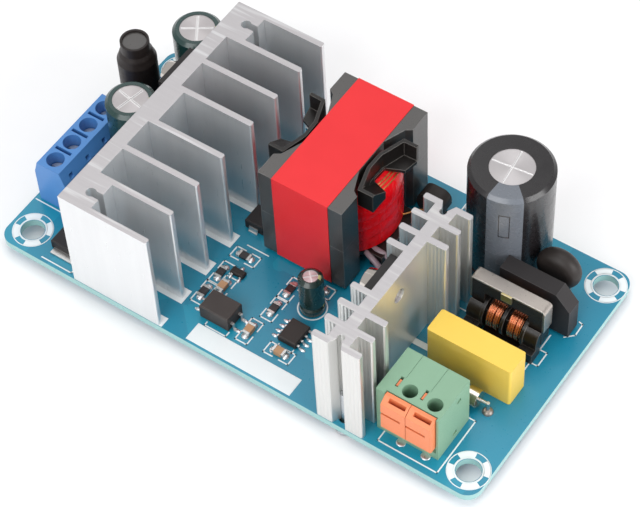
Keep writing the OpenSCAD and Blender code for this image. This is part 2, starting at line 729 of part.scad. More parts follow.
// How far each sleeve folds over the rim of its can, and the reach of the vent's lines
ocap_fold = 1.45;
ocap_vent = 3.2;
bulk_fold = 3.85;
bulk_vent = 4;
vcap_fold = 0.95;
vcap_vent = 1.4;

// The printed shrink sleeve: it wraps the can and folds over the rim.
module sleeve(d, h, z0, opening_r) {
    r = d / 2;
    wall = 0.15;
    inner = r - wall;
    bead = 0.35;
    rim = 0.7;
    rotate_extrude() polygon([
        [inner, z0 + 0.2], [r, z0 + 0.2], [r, z0 + 1.4], [r - bead, z0 + 1.9], [r, z0 + 2.4],
        [r, h - rim], [r - rim, h], [opening_r, h], [opening_r, h - wall + fit],
        [inner - rim, h - wall + fit], [inner, h - wall - rim + fit], [inner, z0 + 2.4],
        [inner - bead, z0 + 1.9], [inner, z0 + 1.4]
    ]);
}

// The can that goes into a sleeve of these outer sizes.
module sleeved_can(d, h, z0, vent_r, turn = 45) {
    can(d - 2 * (0.15 + fit), h - 0.15, z0, vent_r, turn);
}

module output_capacitor_cans() {
    color("#d8dade") for (i = [0, 1])
        on_board(ocap_places[i]) sleeved_can(ocap_d, ocap_h, 0.1, ocap_vent, 45 * i - 12);
}

module output_capacitor_sleeves() {
    color("#1f4a48") for (p = ocap_places) on_board(p) sleeve(ocap_d, ocap_h, 0.1, ocap_d / 2 - ocap_fold);
}

module bulk_capacitor_can() {
    color("#d8dade") on_board(bulk_at) sleeved_can(bulk_d, bulk_h, 0.1, bulk_vent, 6);
}

module bulk_capacitor_sleeve() {
    color("#2c2a2b") on_board(bulk_at) sleeve(bulk_d, bulk_h, 0.1, bulk_d / 2 - bulk_fold);
}

module supply_capacitor_can() {
    color("#d8dade") on_board(vcap_at) sleeved_can(vcap_d, vcap_h, 0.1, vcap_vent);
}

module supply_capacitor_sleeve() {
    color("#1c2b2a") on_board(vcap_at) sleeve(vcap_d, vcap_h, 0.1, vcap_d / 2 - vcap_fold);
}

// The rubber seals in the mouths of the cans, round the leads.
module capacitor_seals() {
    color("#26221f") for (c = [
        [ocap_places[0], ocap_d, ocap_pitch, true], [ocap_places[1], ocap_d, ocap_pitch, true],
        [bulk_at, bulk_d, bulk_pitch, false], [vcap_at, vcap_d, vcap_pitch, false]
    ]) on_board() difference() {
        translate([c[0][0], c[0][1], 0.1]) cylinder(h = 0.5, r = c[1] / 2 - 0.9 - fit);
        for (p = pair(c[0], c[2], c[3]))
            translate([p[0], p[1], -1]) cylinder(h = 3, r = lead_r + fit, $fn = 24);
    }
}

// ---------------------------------------------------------------- output inductor

coil_core_d = coil_neck_d - 0.9;
coil_sleeve_t = 0.45;
coil_shoulder = coil_h - 3.6;

module output_inductor_core() {
    color("#4a4648") on_board([coil_x, coil_y, 0]) {
        cylinder(h = 1.5, d = coil_d - 2 * coil_sleeve_t - 2 * fit);
        translate([0, 0, 1.5 - eps]) cylinder(h = coil_h - 1.9 + eps, d = coil_core_d - 1.2);
        translate([0, 0, coil_h - 1.6]) cylinder(h = 1.2, d = coil_core_d - 2 * fit);
    }
}

module output_inductor_winding() {
    color("#b4643c") on_board([coil_x, coil_y, 1.6]) difference() {
        cylinder(h = coil_shoulder - 3, d = coil_d - 2 * coil_sleeve_t - 2 * fit);
        translate([0, 0, -1]) cylinder(h = coil_h, d = coil_core_d - 1.2 + 2 * fit);
    }
}

// Heat-shrink tube: a straight body, a round shoulder and a narrower neck.
module output_inductor_sleeve() {
    r = coil_d / 2;
    n = coil_neck_d / 2;
    t = coil_sleeve_t;
    color("#2a2627") on_board([coil_x, coil_y, 0]) rotate_extrude() polygon([
        [r - t, 0.3], [r, 0.3], [r, coil_shoulder - 1.2], [r - 0.35, coil_shoulder - 0.35],
        [n + 0.5, coil_shoulder + 0.35], [n + 0.05, coil_shoulder + 1.2], [n, coil_h],
        [n - t, coil_h], [n - t, coil_shoulder + 0.9], [n - 0.1, coil_shoulder - 0.1],
        [r - t - 0.35, coil_shoulder - 0.7], [r - t, coil_shoulder - 1.3]
    ]);
}

// ---------------------------------------------------------------- heatsinks

// A fin that starts at the base and ends in a tip with round corners.
module fin(x0, x1, y, t) {
    tip_r = 0.3 * t;
    tip = sign(x1 - x0) * tip_r;
    translate([min(x0, x1 - tip), y - t / 2]) square([abs(x1 - tip - x0), t]);
    translate([min(x0, x1), y - t / 2 + tip_r]) square([abs(x1 - x0), t - 2 * tip_r]);
    for (s = [-1, 1]) translate([x1 - tip, y + s * (t / 2 - tip_r)]) circle(tip_r, $fn = 24);
}

// Plan of the secondary heatsink, with its screw channels.
module hs2_plan() {
    mouth_x = hs2_x0 + hs2_block;
    difference() {
        union() {
            translate([hs2_x0, -hs2_l / 2]) square([hs2_base, hs2_l]);
            translate([hs2_x0, -hs2_fins[0]]) square([hs2_base_mid, 2 * hs2_fins[0]]);
            for (s = [-1, 1]) {
                for (y = hs2_fins) fin(hs2_x0 + 1, hs2_x1, s * y, hs2_fin_t);
                translate([hs2_x0, s > 0 ? hs2_fins[2] : -hs2_fins[3]])
                    square([hs2_block, hs2_fins[3] - hs2_fins[2]]);
            }
        }
        for (s = [-1, 1]) translate([0, s * hs2_channel_y]) {
            translate([hs2_channel_x, 0]) circle(d = channel_d);
            translate([hs2_channel_x, -channel_slot / 2])
                square([mouth_x - hs2_channel_x + 1, channel_slot]);
        }
    }
}

module secondary_heatsink() {
    color("#d9dadc") on_board() difference() {
        translate([0, hs2_y, 0]) linear_extrude(hs_h) hs2_plan();
        translate([hs2_x0 - 1, rectifier_y, to_screw_z]) rotate([0, 90, 0])
            cylinder(h = to_screw_l + 1.4, d = to_screw_d + 2 * fit);
    }
}

module primary_heatsink() {
    color("#d9dadc") on_board([0, hs1_y, 0]) difference() {
        linear_extrude(hs_h) difference() {
            union() {
                translate([hs1_face0, -hs1_l / 2]) square([hs1_base, hs1_l]);
                for (s = [-1, 1]) {
                    for (y = hs1_near) fin(hs1_mid, hs1_x0, s * y, hs1_fin_t);
                    for (y = hs1_far) fin(hs1_mid, hs1_x1, s * y, hs1_fin_t);
                    translate([hs1_mid - hs1_block_w / 2, s > 0 ? hs1_near[1] : -hs1_near[0]])
                        square([hs1_block_w, hs1_pitch]);
                }
            }
            for (s = [-1, 1]) translate([hs1_mid, s * hs1_channel_y]) {
                circle(d = notch_d);
                polygon([
                    [-notch_neck, 0], [notch_neck, 0], [notch_mouth / 2, s * hs1_channel_in],
                    [notch_mouth / 2, s * (hs1_channel_in + 1)], [-notch_mouth / 2, s * (hs1_channel_in + 1)],
                    [-notch_mouth / 2, s * hs1_channel_in]
                ]);
            }
        }
        translate([hs1_mid, 0, to_screw_z]) rotate([0, 90, 0])
            cylinder(h = 2 * hs1_base, d = to_screw_d + 2 * fit, center = true);
    }
}

// Self-tapping screws that hold the heatsinks from below the board.
module heatsink_screws() {
    color("#b9bcc0") for (i = [0:3]) translate([screw_places[i][0], screw_places[i][1], 0]) {
        cylinder(h = board_t + board_screw_l, r = screw_core_r[i]);
        translate([0, 0, -board_screw_head_h])
            cylinder(h = board_screw_head_h, r1 = board_screw_head_d / 2 - 0.5, d2 = board_screw_head_d);
    }
}

// ---------------------------------------------------------------- power transistors

// A full-pack body whose back is at x = 0 and which reaches towards -X.
module to_body() {
    difference() {
        union() {
            block([-to_tab_t, -to_w / 2, to_top - to_tab_h], [0, to_w / 2, to_top]);
            block([-to_t, -to_w / 2, to_bottom], [0, to_w / 2, to_top - to_tab_h]);
        }
        translate([-to_tab_t - 1, 0, to_screw_z]) rotate([0, 90, 0])
            cylinder(h = to_tab_t + 2, d = to_screw_d + 0.2);
    }
}

module switching_transistor() {
    color("#2b2a2c") on_board([hs1_face0, hs1_y, 0]) to_body();
}

module output_rectifier() {
    color("#2b2a2c") on_board([hs2_x0, rectifier_y, 0]) to_body();
}

// A pan-head screw along X: the head stands on the body and the shank ends in the heatsink.
module to_screw() {
    difference() {
        union() {
            translate([-to_tab_t - to_head_h, 0, 0]) rotate([0, 90, 0])
                cylinder(h = to_head_h, d1 = to_head_d - 1.2, d2 = to_head_d);
            translate([-to_tab_t - eps, 0, 0]) rotate([0, 90, 0])
                cylinder(h = to_tab_t + to_screw_l, d = to_screw_d);
        }
        for (a = [0, 90]) rotate([a, 0, 0])
            translate([-to_tab_t - to_head_h - 1, -1.4, -0.3]) cube([1.9, 2.8, 0.6]);
    }
}

module transistor_screws() {
    color("#b9bcc0") {
        on_board([hs1_face0, hs1_y, to_screw_z]) to_screw();
        on_board([hs2_x0, rectifier_y, to_screw_z]) to_screw();
    }
}

// ---------------------------------------------------------------- transformer

// Plan of the core: wide ends and a waist that shows the winding.
function core_side(s) = [
    [s * tr_w / 2, -tr_l / 2], [s * tr_w / 2, -tr_l / 2 + 5], [s * (tr_w / 2 - 1.2), -tr_l / 2 + 5.8],
    [s * tr_neck, -tr_l / 2 + 10.2], [s * tr_neck, tr_l / 2 - 10.2],
    [s * (tr_w / 2 - 1.2), tr_l / 2 - 5.8], [s * tr_w / 2, tr_l / 2 - 5], [s * tr_w / 2, tr_l / 2]
];
core_left = core_side(-1);
core_plan = concat(core_side(1), [for (i = [len(core_left) - 1:-1:0]) core_left[i]]);

// One half of the core: plate, two legs and the centre post, up to the joint plane.
module core_half(plate) {
    h = tr_mid - tr_base;
    linear_extrude(plate) polygon(core_plan);
    linear_extrude(h) difference() {
        polygon(core_plan);
        circle(tr_window_r, $fn = 64);
        translate([-tr_w, -tr_l / 2 + 8.5]) square([2 * tr_w, tr_l - 17]);
    }
    cylinder(h = h, r = tr_post_r);
}

module transformer_core_lower() {
    color("#4a4a4b") on_board([tr_x, tr_y, tr_base]) core_half(tr_plate_low);
}

module transformer_core_upper() {
    color("#4a4a4b") on_board([tr_x, tr_y, tr_top]) mirror([0, 0, 1]) core_half(tr_plate);
}

// Plan of a flange arm beside the core: the floor, the wall on its core side and the hook.
arm_front = -7.6;
arm_back = 7;
arm_floor = [
    [tr_neck - 1, -2.2], [tr_neck + 0.5, -2.2], [tr_w / 2 - 1, arm_front],
    [bobbin_reach - 0.4, arm_front], [bobbin_reach - 0.3, -3.6], [tr_neck + 2.3, -2.2],
    [tr_neck + 1.5, -1.5], [tr_neck + 1.7, 1.7], [bobbin_reach - 0.5, 3.2],
    [bobbin_reach + 0.1, 6.2], [bobbin_reach, arm_back], [tr_neck + 2.5, arm_back - 0.1],
    [tr_neck + 0.6, 1.5], [tr_neck - 1, 1.5]
];
arm_wall = [
    [bobbin_reach - 0.4, arm_front], [tr_w / 2 - 1, arm_front], [tr_neck + 0.5, -2.2],
    [tr_neck + 0.6, 1.5], [tr_neck + 2.5, arm_back - 0.1], [bobbin_reach, arm_back],
    [bobbin_reach, arm_back - arm_wall_t], [tr_neck + 3, arm_back - 0.1 - arm_wall_t],
    [tr_neck + 0.6 + arm_wall_t, 1.4], [tr_neck + 0.5 + arm_wall_t, -2.1],
    [tr_w / 2 - 1 + 0.8 * arm_wall_t, arm_front + arm_wall_t],
    [bobbin_reach - 0.4, arm_front + arm_wall_t]
];
arm_hook = [
    [tr_w / 2 - 0.9, arm_front + 0.1], [bobbin_reach - 0.4, arm_front + 0.1],
    [bobbin_reach - 0.3, -3.6], [tr_neck + 2.3, -2.2]
];

// An arm, from the flange's upper face: the hook slopes down from the wall in front.
module bobbin_arm() {
    translate([0, 0, -bobbin_flange]) linear_extrude(bobbin_flange) polygon(arm_floor);
    translate([0, 0, -eps]) linear_extrude(arm_h) polygon(arm_wall);
    intersection() {
        translate([0, 0, -bobbin_flange / 2]) linear_extrude(2 * arm_h) polygon(arm_hook);
        rotate([90, 0, 90]) linear_extrude(2 * bobbin_reach) polygon([
            [arm_front, -bobbin_flange], [arm_front, arm_h - 0.1],
            [arm_front + arm_wall_t, arm_h - 0.1], [-3.4, 1], [-2, 0.2], [-2, -bobbin_flange]
        ]);
    }
}

module transformer_bobbin() {
    foot_y = bobbin_foot_l / 2;
    color("#232221") on_board([tr_x, tr_y, 0]) difference() {
        union() {
            translate([0, 0, bobbin_z0]) cylinder(h = bobbin_z1 - bobbin_z0, r = tr_post_r + fit + bobbin_wall);
            translate([0, 0, bobbin_z0]) {
                cylinder(h = bobbin_flange, r = tr_coil_r, $fn = 64);
                block([-bobbin_reach, -foot_y, 0], [bobbin_reach, foot_y, bobbin_flange]);
            }
            translate([0, 0, bobbin_z1 - bobbin_flange]) linear_extrude(bobbin_flange) intersection() {
                circle(tr_coil_r, $fn = 64);
                square([2 * (tr_neck + 0.4), 2 * tr_coil_r + 1], center = true);
            }
            for (s = [-1, 1]) {
                block([s > 0 ? bobbin_foot_x - bobbin_foot_w / 2 : -bobbin_foot_x - bobbin_foot_w / 2, -foot_y, 0],
                      [s > 0 ? bobbin_foot_x + bobbin_foot_w / 2 : -bobbin_foot_x + bobbin_foot_w / 2,
                       foot_y, bobbin_z0 + bobbin_flange]);
                translate([0, 0, bobbin_z1]) mirror([s > 0 ? 0 : 1, 0, 0]) bobbin_arm();
            }
        }
        translate([0, 0, bobbin_z0 - 1]) cylinder(h = bobbin_z1 - bobbin_z0 + 2, r = tr_post_r + fit);
        for (s = [-1, 1], i = [-1.5:1:1.5])
            translate([s * bobbin_foot_x, i * tr_pin_pitch, -1]) cylinder(h = 4, r = lead_r + fit, $fn = 24);
    }
}

coil_z0 = bobbin_z0 + bobbin_flange + 0.05;
coil_z1 = bobbin_z1 - bobbin_flange - 0.05;

module transformer_winding() {
    color("#b4643c") on_board([tr_x, tr_y, coil_z0]) difference() {
        cylinder(h = coil_z1 - coil_z0 - tr_winding_tape_t - fit,
                 r = tr_coil_r - tr_winding_tape_t - fit, $fn = 64);
        translate([0, 0, -1]) cylinder(h = tr_top, r = tr_post_r + bobbin_wall + 2 * fit);
    }
}

// The tape round the winding closes over its upper end.

module transformer_winding_tape() {
    color("#c8202a") on_board([tr_x, tr_y, coil_z0]) difference() {
        cylinder(h = coil_z1 - coil_z0, r = tr_coil_r, $fn = 64);
        translate([0, 0, -1])
            cylinder(h = coil_z1 - coil_z0 - tr_winding_tape_t + 1, r = tr_coil_r - tr_winding_tape_t, $fn = 64);
        translate([0, 0, -1]) cylinder(h = tr_top, r = tr_post_r + bobbin_wall + 2 * fit);
    }
}

// The band of tape that holds the two core halves together.
module transformer_core_tape() {
    t = tr_tape_t;
    color("#f04444") on_board([tr_x, tr_y, 0]) difference() {
        block([-tr_tape_w / 2, -tr_l / 2 - t, tr_base - t], [tr_tape_w / 2, tr_l / 2 + t, tr_top + t]);
        block([-tr_w, -tr_l / 2, tr_base], [tr_w, tr_l / 2, tr_top]);
    }
}

module transformer_pins() {
    color("#c9cbcd") for (p = tr_pin_rows) on_board(p) cylinder(h = 2.8, r = lead_r, $fn = 24);
}

// The sleeved wire ends that leave the winding and go down to their pads.
wire_out_z = 3.6;
wire_knee_z = 2.4;

module transformer_lead_wires() {
    r = tr_wire_d / 2;
    knee_r = r + 0.06;
    color("#a58c92") for (i = [0, 1]) {
        pad = tr_wire_pads[i];
        knee = [pad[0], pad[1], board_t + wire_knee_z];
        start = [tr_x + tr_coil_r * cos(-40 + 16 * i) + 1.25, tr_y + tr_coil_r * sin(-40 + 16 * i),
                 board_t + coil_z0 + wire_out_z];
        rod(start, knee, r);
        translate(knee) sphere(knee_r);
        translate([pad[0], pad[1], board_t]) cylinder(h = wire_knee_z, r = r);
    }
}

// ---------------------------------------------------------------- mains side

module bridge_rectifier() {
    bevel_x = 3;
    bevel_z = 3.4;
    color("#333134") on_board([bridge_x, bridge_y0 + bridge_t, 0]) rotate([90, 0, 0])
        linear_extrude(bridge_t) polygon([
            [-bridge_w / 2, bridge_z0], [bridge_w / 2, bridge_z0], [bridge_w / 2, bridge_h - bevel_z],
            [bridge_w / 2 - bevel_x, bridge_h], [-bridge_w / 2, bridge_h]
        ]);
}

// A disc with a round rim, dipped, standing on edge.
module inrush_thermistor() {
    r = ntc_t / 2;
    color("#3a332f") on_board([ntc_x, ntc_y, ntc_z]) rotate([90, 0, 0]) rotate_extrude() {
        translate([0, -r]) square([ntc_d / 2 - r, ntc_t]);
        intersection() {
            translate([ntc_d / 2 - r, 0]) circle(r);
            translate([0, -r]) square([ntc_d, ntc_t]);
        }
    }
}

module suppression_capacitor() {
    color("#2e2723") on_board([sup_x, sup_y + sup_t / 2, sup_z0 + sup_h / 2]) rotate([90, 0, 0])
        round_plate(sup_w, sup_h, sup_t, sup_r);
}

// Two U-shaped core halves that meet in the middle.
module choke_core() {
    inner_h = choke_h - 2 * choke_limb;
    gap = 0.04;
    color("#3a3836") on_board([choke_x, choke_y0, choke_base]) for (s = [0, 1]) mirror([s, 0, 0])
        difference() {
            block([gap / 2, 0, 0], [choke_l / 2, choke_limb, choke_h]);
            block([-1, -1, choke_limb], [choke_l / 2 - choke_limb, choke_limb + 1, choke_limb + inner_h]);
        }
}

// The bobbin on the lower limb: round flanges, and at each end a half drum with its pin block.
module choke_bobbin() {
    hole = choke_limb + 2 * 0.1;
    tube = hole + 1;
    inner_x = choke_inner_l / 2 - 0.1;
    front_y = -choke_limb / 2 - choke_front_gap;
    color("#1f1d1e") on_board([choke_x, choke_y, choke_z]) difference() {
        union() {
            block([-inner_x, -tube / 2, -tube / 2], [inner_x, tube / 2, tube / 2]);
            translate([-choke_flange_t / 2, 0, 0]) rotate([0, 90, 0])
                cylinder(h = choke_flange_t, d = choke_flange);
            for (s = [0, 1]) mirror([s, 0, 0]) {
                translate([inner_x - choke_flange_t, 0, 0]) rotate([0, 90, 0])
                    cylinder(h = choke_flange_t, d = choke_flange);
                translate([inner_x - choke_flange_t / 2, 0, 0]) rotate([0, 90, 0])
                    cylinder(h = choke_l / 2 - inner_x + choke_flange_t / 2, r = choke_drum_r);
                block([choke_l / 2 - choke_block[0], front_y - choke_block[1], -choke_z],
                      [choke_l / 2, front_y, -choke_z + choke_block[2]]);
            }
        }
        block([-choke_l, -hole / 2, -hole / 2], [choke_l, hole / 2, hole / 2]);
        for (s = [0, 1]) mirror([s, 0, 0]) {
            block([inner_x, front_y, -choke_z - 1], [choke_l, choke_flange, choke_flange]);
            for (d = [-0.9, 0.9])
                translate([choke_pin_dx, choke_pin_y - choke_y + d, -choke_z - 1])
                    cylinder(h = 3, r = lead_r + fit, $fn = 24);
        }
    }
}

// Two windings side by side on the lower limb.
module choke_windings() {
    tube_r = (choke_limb + 1.2) / sqrt(2) + 0.03;
    color("#b9683c") on_board([choke_x, choke_y, choke_z]) for (s = [-1, 1])
        translate([s * (choke_flange_t / 2 + choke_coil_gap + choke_coil_w / 2), 0, 0]) rotate([0, 90, 0])
            difference() {
                cylinder(h = choke_coil_w, d = choke_coil_d, center = true);
                cylinder(h = choke_coil_w + 1, r = tube_r, center = true);
            }
}

// A folded steel clip over the top of the core, with a short tongue in front.
module choke_clip() {
    leg = 5.6;
    gap = 0.05;
    bend_r = 0.9;
    x1 = choke_l / 2 + clip_t + gap;
    top = gap + clip_t;
    color("#b8b3ad") on_board([choke_x, choke_y0, choke_top]) {
        translate([0, choke_limb, 0]) rotate([90, 0, 0]) linear_extrude(choke_limb) difference() {
            translate([0, top - leg]) round_rect(2 * x1, 2 * leg, bend_r);
            translate([clip_t - x1, -2 * leg]) square([2 * (x1 - clip_t), 2 * leg + gap]);
            translate([-2 * x1, -3 * leg]) square([4 * x1, 2 * leg]);
        }
        block([-1.1, -top, -1.5], [1.1, -gap, top]);
        block([-1.1, -0.1, gap], [1.1, 0.1, top]);
    }
}

module mains_capacitor() {
    color("#f2d45a") on_board([xcap_x, xcap_y, 0]) round_plate(xcap_l, xcap_t, xcap_h, 0.5);
}

module fuse_tube() {
    color("#dfe8e6", 0.5) on_board([fuse_x, fuse_y, fuse_z]) rotate([0, 90, 0]) difference() {
        cylinder(h = fuse_l - 2 * fuse_bore, d = fuse_d - 0.5 - 2 * fit, center = true);
        cylinder(h = fuse_l, d = fuse_d - 1.7, center = true);
    }
}

// Pressed end caps that grip the glass tube.
module fuse_caps() {
    color("#c9c5bc") on_board([fuse_x, fuse_y, fuse_z]) for (s = [0, 1]) mirror([s, 0, 0])
        translate([fuse_l / 2 - fuse_cap_l, 0, 0]) rotate([0, 90, 0]) difference() {
            cylinder(h = fuse_cap_l, d = fuse_d);
            translate([0, 0, -1]) cylinder(h = fuse_cap_l - fuse_bore + 1, d = fuse_d - 0.5);
        }
}

// ---------------------------------------------------------------- round leads

// A lead that drops straight from a body down to the board.
module drop(p, z) {
    on_board(p) cylinder(h = z, r = lead_r, $fn = 24);
}

module component_leads() {
    disc_lead_z = ntc_z - sqrt(pow(ntc_d / 2, 2) - pow(ntc_pitch / 2 - lead_r, 2)) - fit;
    corner_dx = max(0, sup_pitch / 2 - lead_r - (sup_w / 2 - sup_r));
    sup_lead_z = sup_z0 + sup_r - sqrt(pow(sup_r, 2) - pow(corner_dx, 2)) - fit;
    lead_y = to_lead_w / 2;
    color("#c9cbcd") {
        for (p = concat(ocap_pins, pair(bulk_at, bulk_pitch), pair(vcap_at, vcap_pitch))) drop(p, 0.6);
        for (p = pair([ntc_x, ntc_y], ntc_pitch)) drop(p, disc_lead_z);
        for (p = pair([sup_x, sup_y], sup_pitch)) drop(p, sup_lead_z);
        for (p = bridge_pins) drop(p, bridge_z0);
        for (p = choke_pins) drop(p, 2);
        for (p = fuse_pads) {
            drop(p, fuse_z + lead_r);
            on_board([min(p[0], p[0] + sign(fuse_x - p[0]) * fuse_reach), fuse_y, fuse_z])
                rotate([0, 90, 0]) cylinder(h = fuse_reach, r = lead_r - 0.05, $fn = 24);
        }
        for (p = concat(transistor_pins, rectifier_pins))
            on_board() block([p[0] - to_lead_t / 2, p[1] - lead_y, 0],
                             [p[0] + to_lead_t / 2, p[1] + lead_y, to_bottom]);
    }
}

// ---------------------------------------------------------------- surface-mounted parts

// A moulded body with sides that taper above and below the leads.
module moulded(size, z0 = 0.1) {
    taper = 0.12;
    translate([-size[0] / 2, -size[1] / 2, z0]) difference() {
        cube([size[0], size[1], size[2] - z0]);
        for (s = [0, 1]) translate([s * size[0], 0, size[2] - z0]) rotate([0, s > 0 ? 45 : 45, 0])
            cube([2 * taper, 4 * size[1], 2 * taper], center = true);
        for (s = [0, 1]) translate([0, s * size[1], size[2] - z0]) rotate([45, 0, 0])
            cube([4 * size[0], 2 * taper, 2 * taper], center = true);
    }
}

// A gull-wing lead that leaves a body at x = 0 towards +X.
module gull(reach, rise, w, t = 0.2) {
    knee = reach * 0.4;
    translate([0, w / 2, 0]) rotate([90, 0, 0]) linear_extrude(w) polygon([
        [-0.4, rise], [knee, rise], [knee + 0.1, t], [reach, t], [reach, 0], [knee - 0.1, 0],
        [knee - 0.2, rise - t], [-0.4, rise - t]
    ]);
}

module optocoupler() {
    rise = 1.7;
    color("#2c2829") on_board(opto_at) moulded(opto_size);
    color("#c9cbcd") on_board(opto_at) for (s = [0, 1]) rotate(180 * s)
        translate([opto_size[0] / 2, 0, 0]) for (p = [-0.5, 0.5])
            translate([0, p * opto_pitch, 0]) gull(1.6, rise, 0.6);
}

module controller_chip() {
    rise = 0.8;
    color("#2a2724") on_board(chip_at) moulded(chip_size);
    color("#c9cbcd") on_board(chip_at) for (s = [0, 1]) rotate(180 * s)
        translate([chip_size[0] / 2, 0, 0]) for (p = [-1.5:1:1.5])
            translate([0, p * chip_pitch, 0]) gull(1.3, rise, 0.42);
}

module small_transistor() {
    rise = 0.55;
    color("#2a2724") on_board(sot_at) moulded(sot_size);
    color("#c9cbcd") on_board(sot_at) {
        for (x = [-0.95, 0.95]) translate([x, -sot_size[1] / 2, 0]) rotate(-90) gull(0.6, rise, 0.42);
        translate([0, sot_size[1] / 2, 0]) rotate(90) gull(0.6, rise, 0.42);
    }
}

module chip_diode() {
    rise = 1.1;
    color("#2b2829") on_board(diode_at) moulded(diode_size);
    color("#c9cbcd") on_board(diode_at) for (s = [0, 1]) rotate(180 * s + 90)
        translate([diode_size[1] / 2, 0, 0]) gull(0.6, rise, 2);
}

module corner_transistor() {
    tab = [5.3, 1.4, 0.5];
    color("#2b2829") on_board(dpak_at) moulded(dpak_size);
    color("#c9cbcd") on_board(dpak_at) {
        translate([-tab[0] / 2, -dpak_size[1] / 2 - tab[1], 0]) cube([tab[0], tab[1] + 0.4, tab[2]]);
        for (x = [-2.28, 2.28]) translate([x, dpak_size[1] / 2, 0]) rotate(90) gull(2.4, 1.1, 0.8, 0.5);
    }
}

module chip_at_place(p) {
    on_board(p) rotate(p[2]) children();
}

module chip_resistors() {
    color("#2d2a28") for (p = resistor_places) on_board([p[0], p[1], 0]) rotate(p[2])
        block([-chip_l / 2 + chip_end, -chip_w / 2, 0.02], [chip_l / 2 - chip_end, chip_w / 2, chip_h]);
}

module chip_capacitors() {
    color("#b98a62") for (p = capacitor_places) on_board([p[0], p[1], 0]) rotate(p[2])
        block([-chip_l / 2 + chip_end, -chip_w / 2, 0.02], [chip_l / 2 - chip_end, chip_w / 2, chip_cap_h]);
}

// Metal end caps of the chips.
module chip_terminations() {
    color("#c9cbcd") for (g = [[resistor_places, chip_h], [capacitor_places, chip_cap_h]])
        for (p = g[0]) on_board([p[0], p[1], 0]) rotate(p[2]) for (s = [0, 1]) mirror([s, 0, 0])
            block([chip_l / 2 - chip_end, -chip_w / 2, 0], [chip_l / 2, chip_w / 2, g[1] + 0.02]);
}

circuit_board();
solder_joints();
component_leads();
dc_terminal_housing();
dc_terminal_pins();
dc_terminal_screw_1();
dc_terminal_screw_2();
dc_terminal_screw_3();
dc_terminal_screw_4();
dc_terminal_clamp_1();
dc_terminal_clamp_2();
dc_terminal_clamp_3();
dc_terminal_clamp_4();
ac_terminal_housing();
ac_terminal_button_1();
ac_terminal_button_2();
ac_terminal_springs();
ac_terminal_contacts();
output_capacitor_cans();
output_capacitor_sleeves();
output_inductor_core();
output_inductor_winding();
output_inductor_sleeve();
output_rectifier();
corner_transistor();
secondary_heatsink();
primary_heatsink();
heatsink_screws();
switching_transistor();
transistor_screws();
transformer_core_lower();
transformer_core_upper();
transformer_bobbin();
transformer_winding();
transformer_winding_tape();
transformer_core_tape();
transformer_pins();
transformer_lead_wires();
bulk_capacitor_can();
bulk_capacitor_sleeve();
capacitor_seals();
bridge_rectifier();
inrush_thermistor();
suppression_capacitor();
choke_core();
choke_bobbin();
choke_windings();
choke_clip();
mains_capacitor();
fuse_tube();
fuse_caps();
supply_capacitor_can();
supply_capacitor_sleeve();
optocoupler();
controller_chip();
small_transistor();
chip_diode();
chip_resistors();
chip_capacitors();
chip_terminations();
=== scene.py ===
"""Dresses the open frame power supply: finishes, printing, solder, windings, wires, light and camera."""

from __future__ import annotations

import logging
import math
from dataclasses import dataclass
from enum import Enum
from typing import Any, Sequence

import bmesh
import bpy
from mathutils import Matrix, Vector

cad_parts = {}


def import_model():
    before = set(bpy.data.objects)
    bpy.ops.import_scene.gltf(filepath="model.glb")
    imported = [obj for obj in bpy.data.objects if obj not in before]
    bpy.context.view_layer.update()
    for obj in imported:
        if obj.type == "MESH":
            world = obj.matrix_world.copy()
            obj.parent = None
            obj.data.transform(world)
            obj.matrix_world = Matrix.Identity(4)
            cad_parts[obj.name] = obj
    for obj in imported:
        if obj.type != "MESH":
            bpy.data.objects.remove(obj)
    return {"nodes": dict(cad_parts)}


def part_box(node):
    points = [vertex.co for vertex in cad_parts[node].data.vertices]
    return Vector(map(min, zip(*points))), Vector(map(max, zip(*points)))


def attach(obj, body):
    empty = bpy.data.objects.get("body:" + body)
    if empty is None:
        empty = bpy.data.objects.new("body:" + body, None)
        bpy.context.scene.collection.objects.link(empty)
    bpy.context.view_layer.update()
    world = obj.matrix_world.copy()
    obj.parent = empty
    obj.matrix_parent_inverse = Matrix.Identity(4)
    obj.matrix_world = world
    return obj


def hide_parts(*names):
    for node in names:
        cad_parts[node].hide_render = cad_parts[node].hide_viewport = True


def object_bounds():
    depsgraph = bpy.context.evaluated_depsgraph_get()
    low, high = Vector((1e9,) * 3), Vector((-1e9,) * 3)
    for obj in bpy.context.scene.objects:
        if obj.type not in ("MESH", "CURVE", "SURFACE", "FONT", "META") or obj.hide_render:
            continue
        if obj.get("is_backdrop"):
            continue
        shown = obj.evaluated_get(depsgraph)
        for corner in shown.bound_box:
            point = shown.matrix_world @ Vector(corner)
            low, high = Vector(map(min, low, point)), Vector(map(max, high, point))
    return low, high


LOG = logging.getLogger("power_supply")
MM = 0.001
BODY = "board_assembly"
SMOOTH_DEG = 35.0
Colour = tuple[float, float, float, float]
Area = tuple[float, float, float, float]
Point = tuple[float, float, float]
Pair = tuple[float, float]
BUILT: dict[str, bpy.types.Material] = {}
# Centre of each chip part on the top and its turn: 90 lies along Y.
CHIPS: tuple[Point, ...] = (
    (-12.7, -12.65, 90.0), (-12.8, -17.95, 90.0), (-11.15, -7.1, 0.0), (0.4, -8.8, 90.0), (0.35, -14.0, 90.0),
    (4.95, -5.6, 0.0), (-10.4, -15.2, 90.0), (-0.6, -20.6, 90.0), (6.85, -21.6, 0.0),
)


def colour(code: str) -> Colour:
    """Turns an sRGB hex value into a linear colour.

    Args:
        code: six hex digits with a leading #.

    Returns:
        Linear red, green and blue, opaque.
    """
    parts = [int(code[i : i + 2], 16) / 255 for i in (1, 3, 5)]
    red, green, blue = (c / 12.92 if c <= 0.04045 else ((c + 0.055) / 1.055) ** 2.4 for c in parts)
    return (red, green, blue, 1.0)


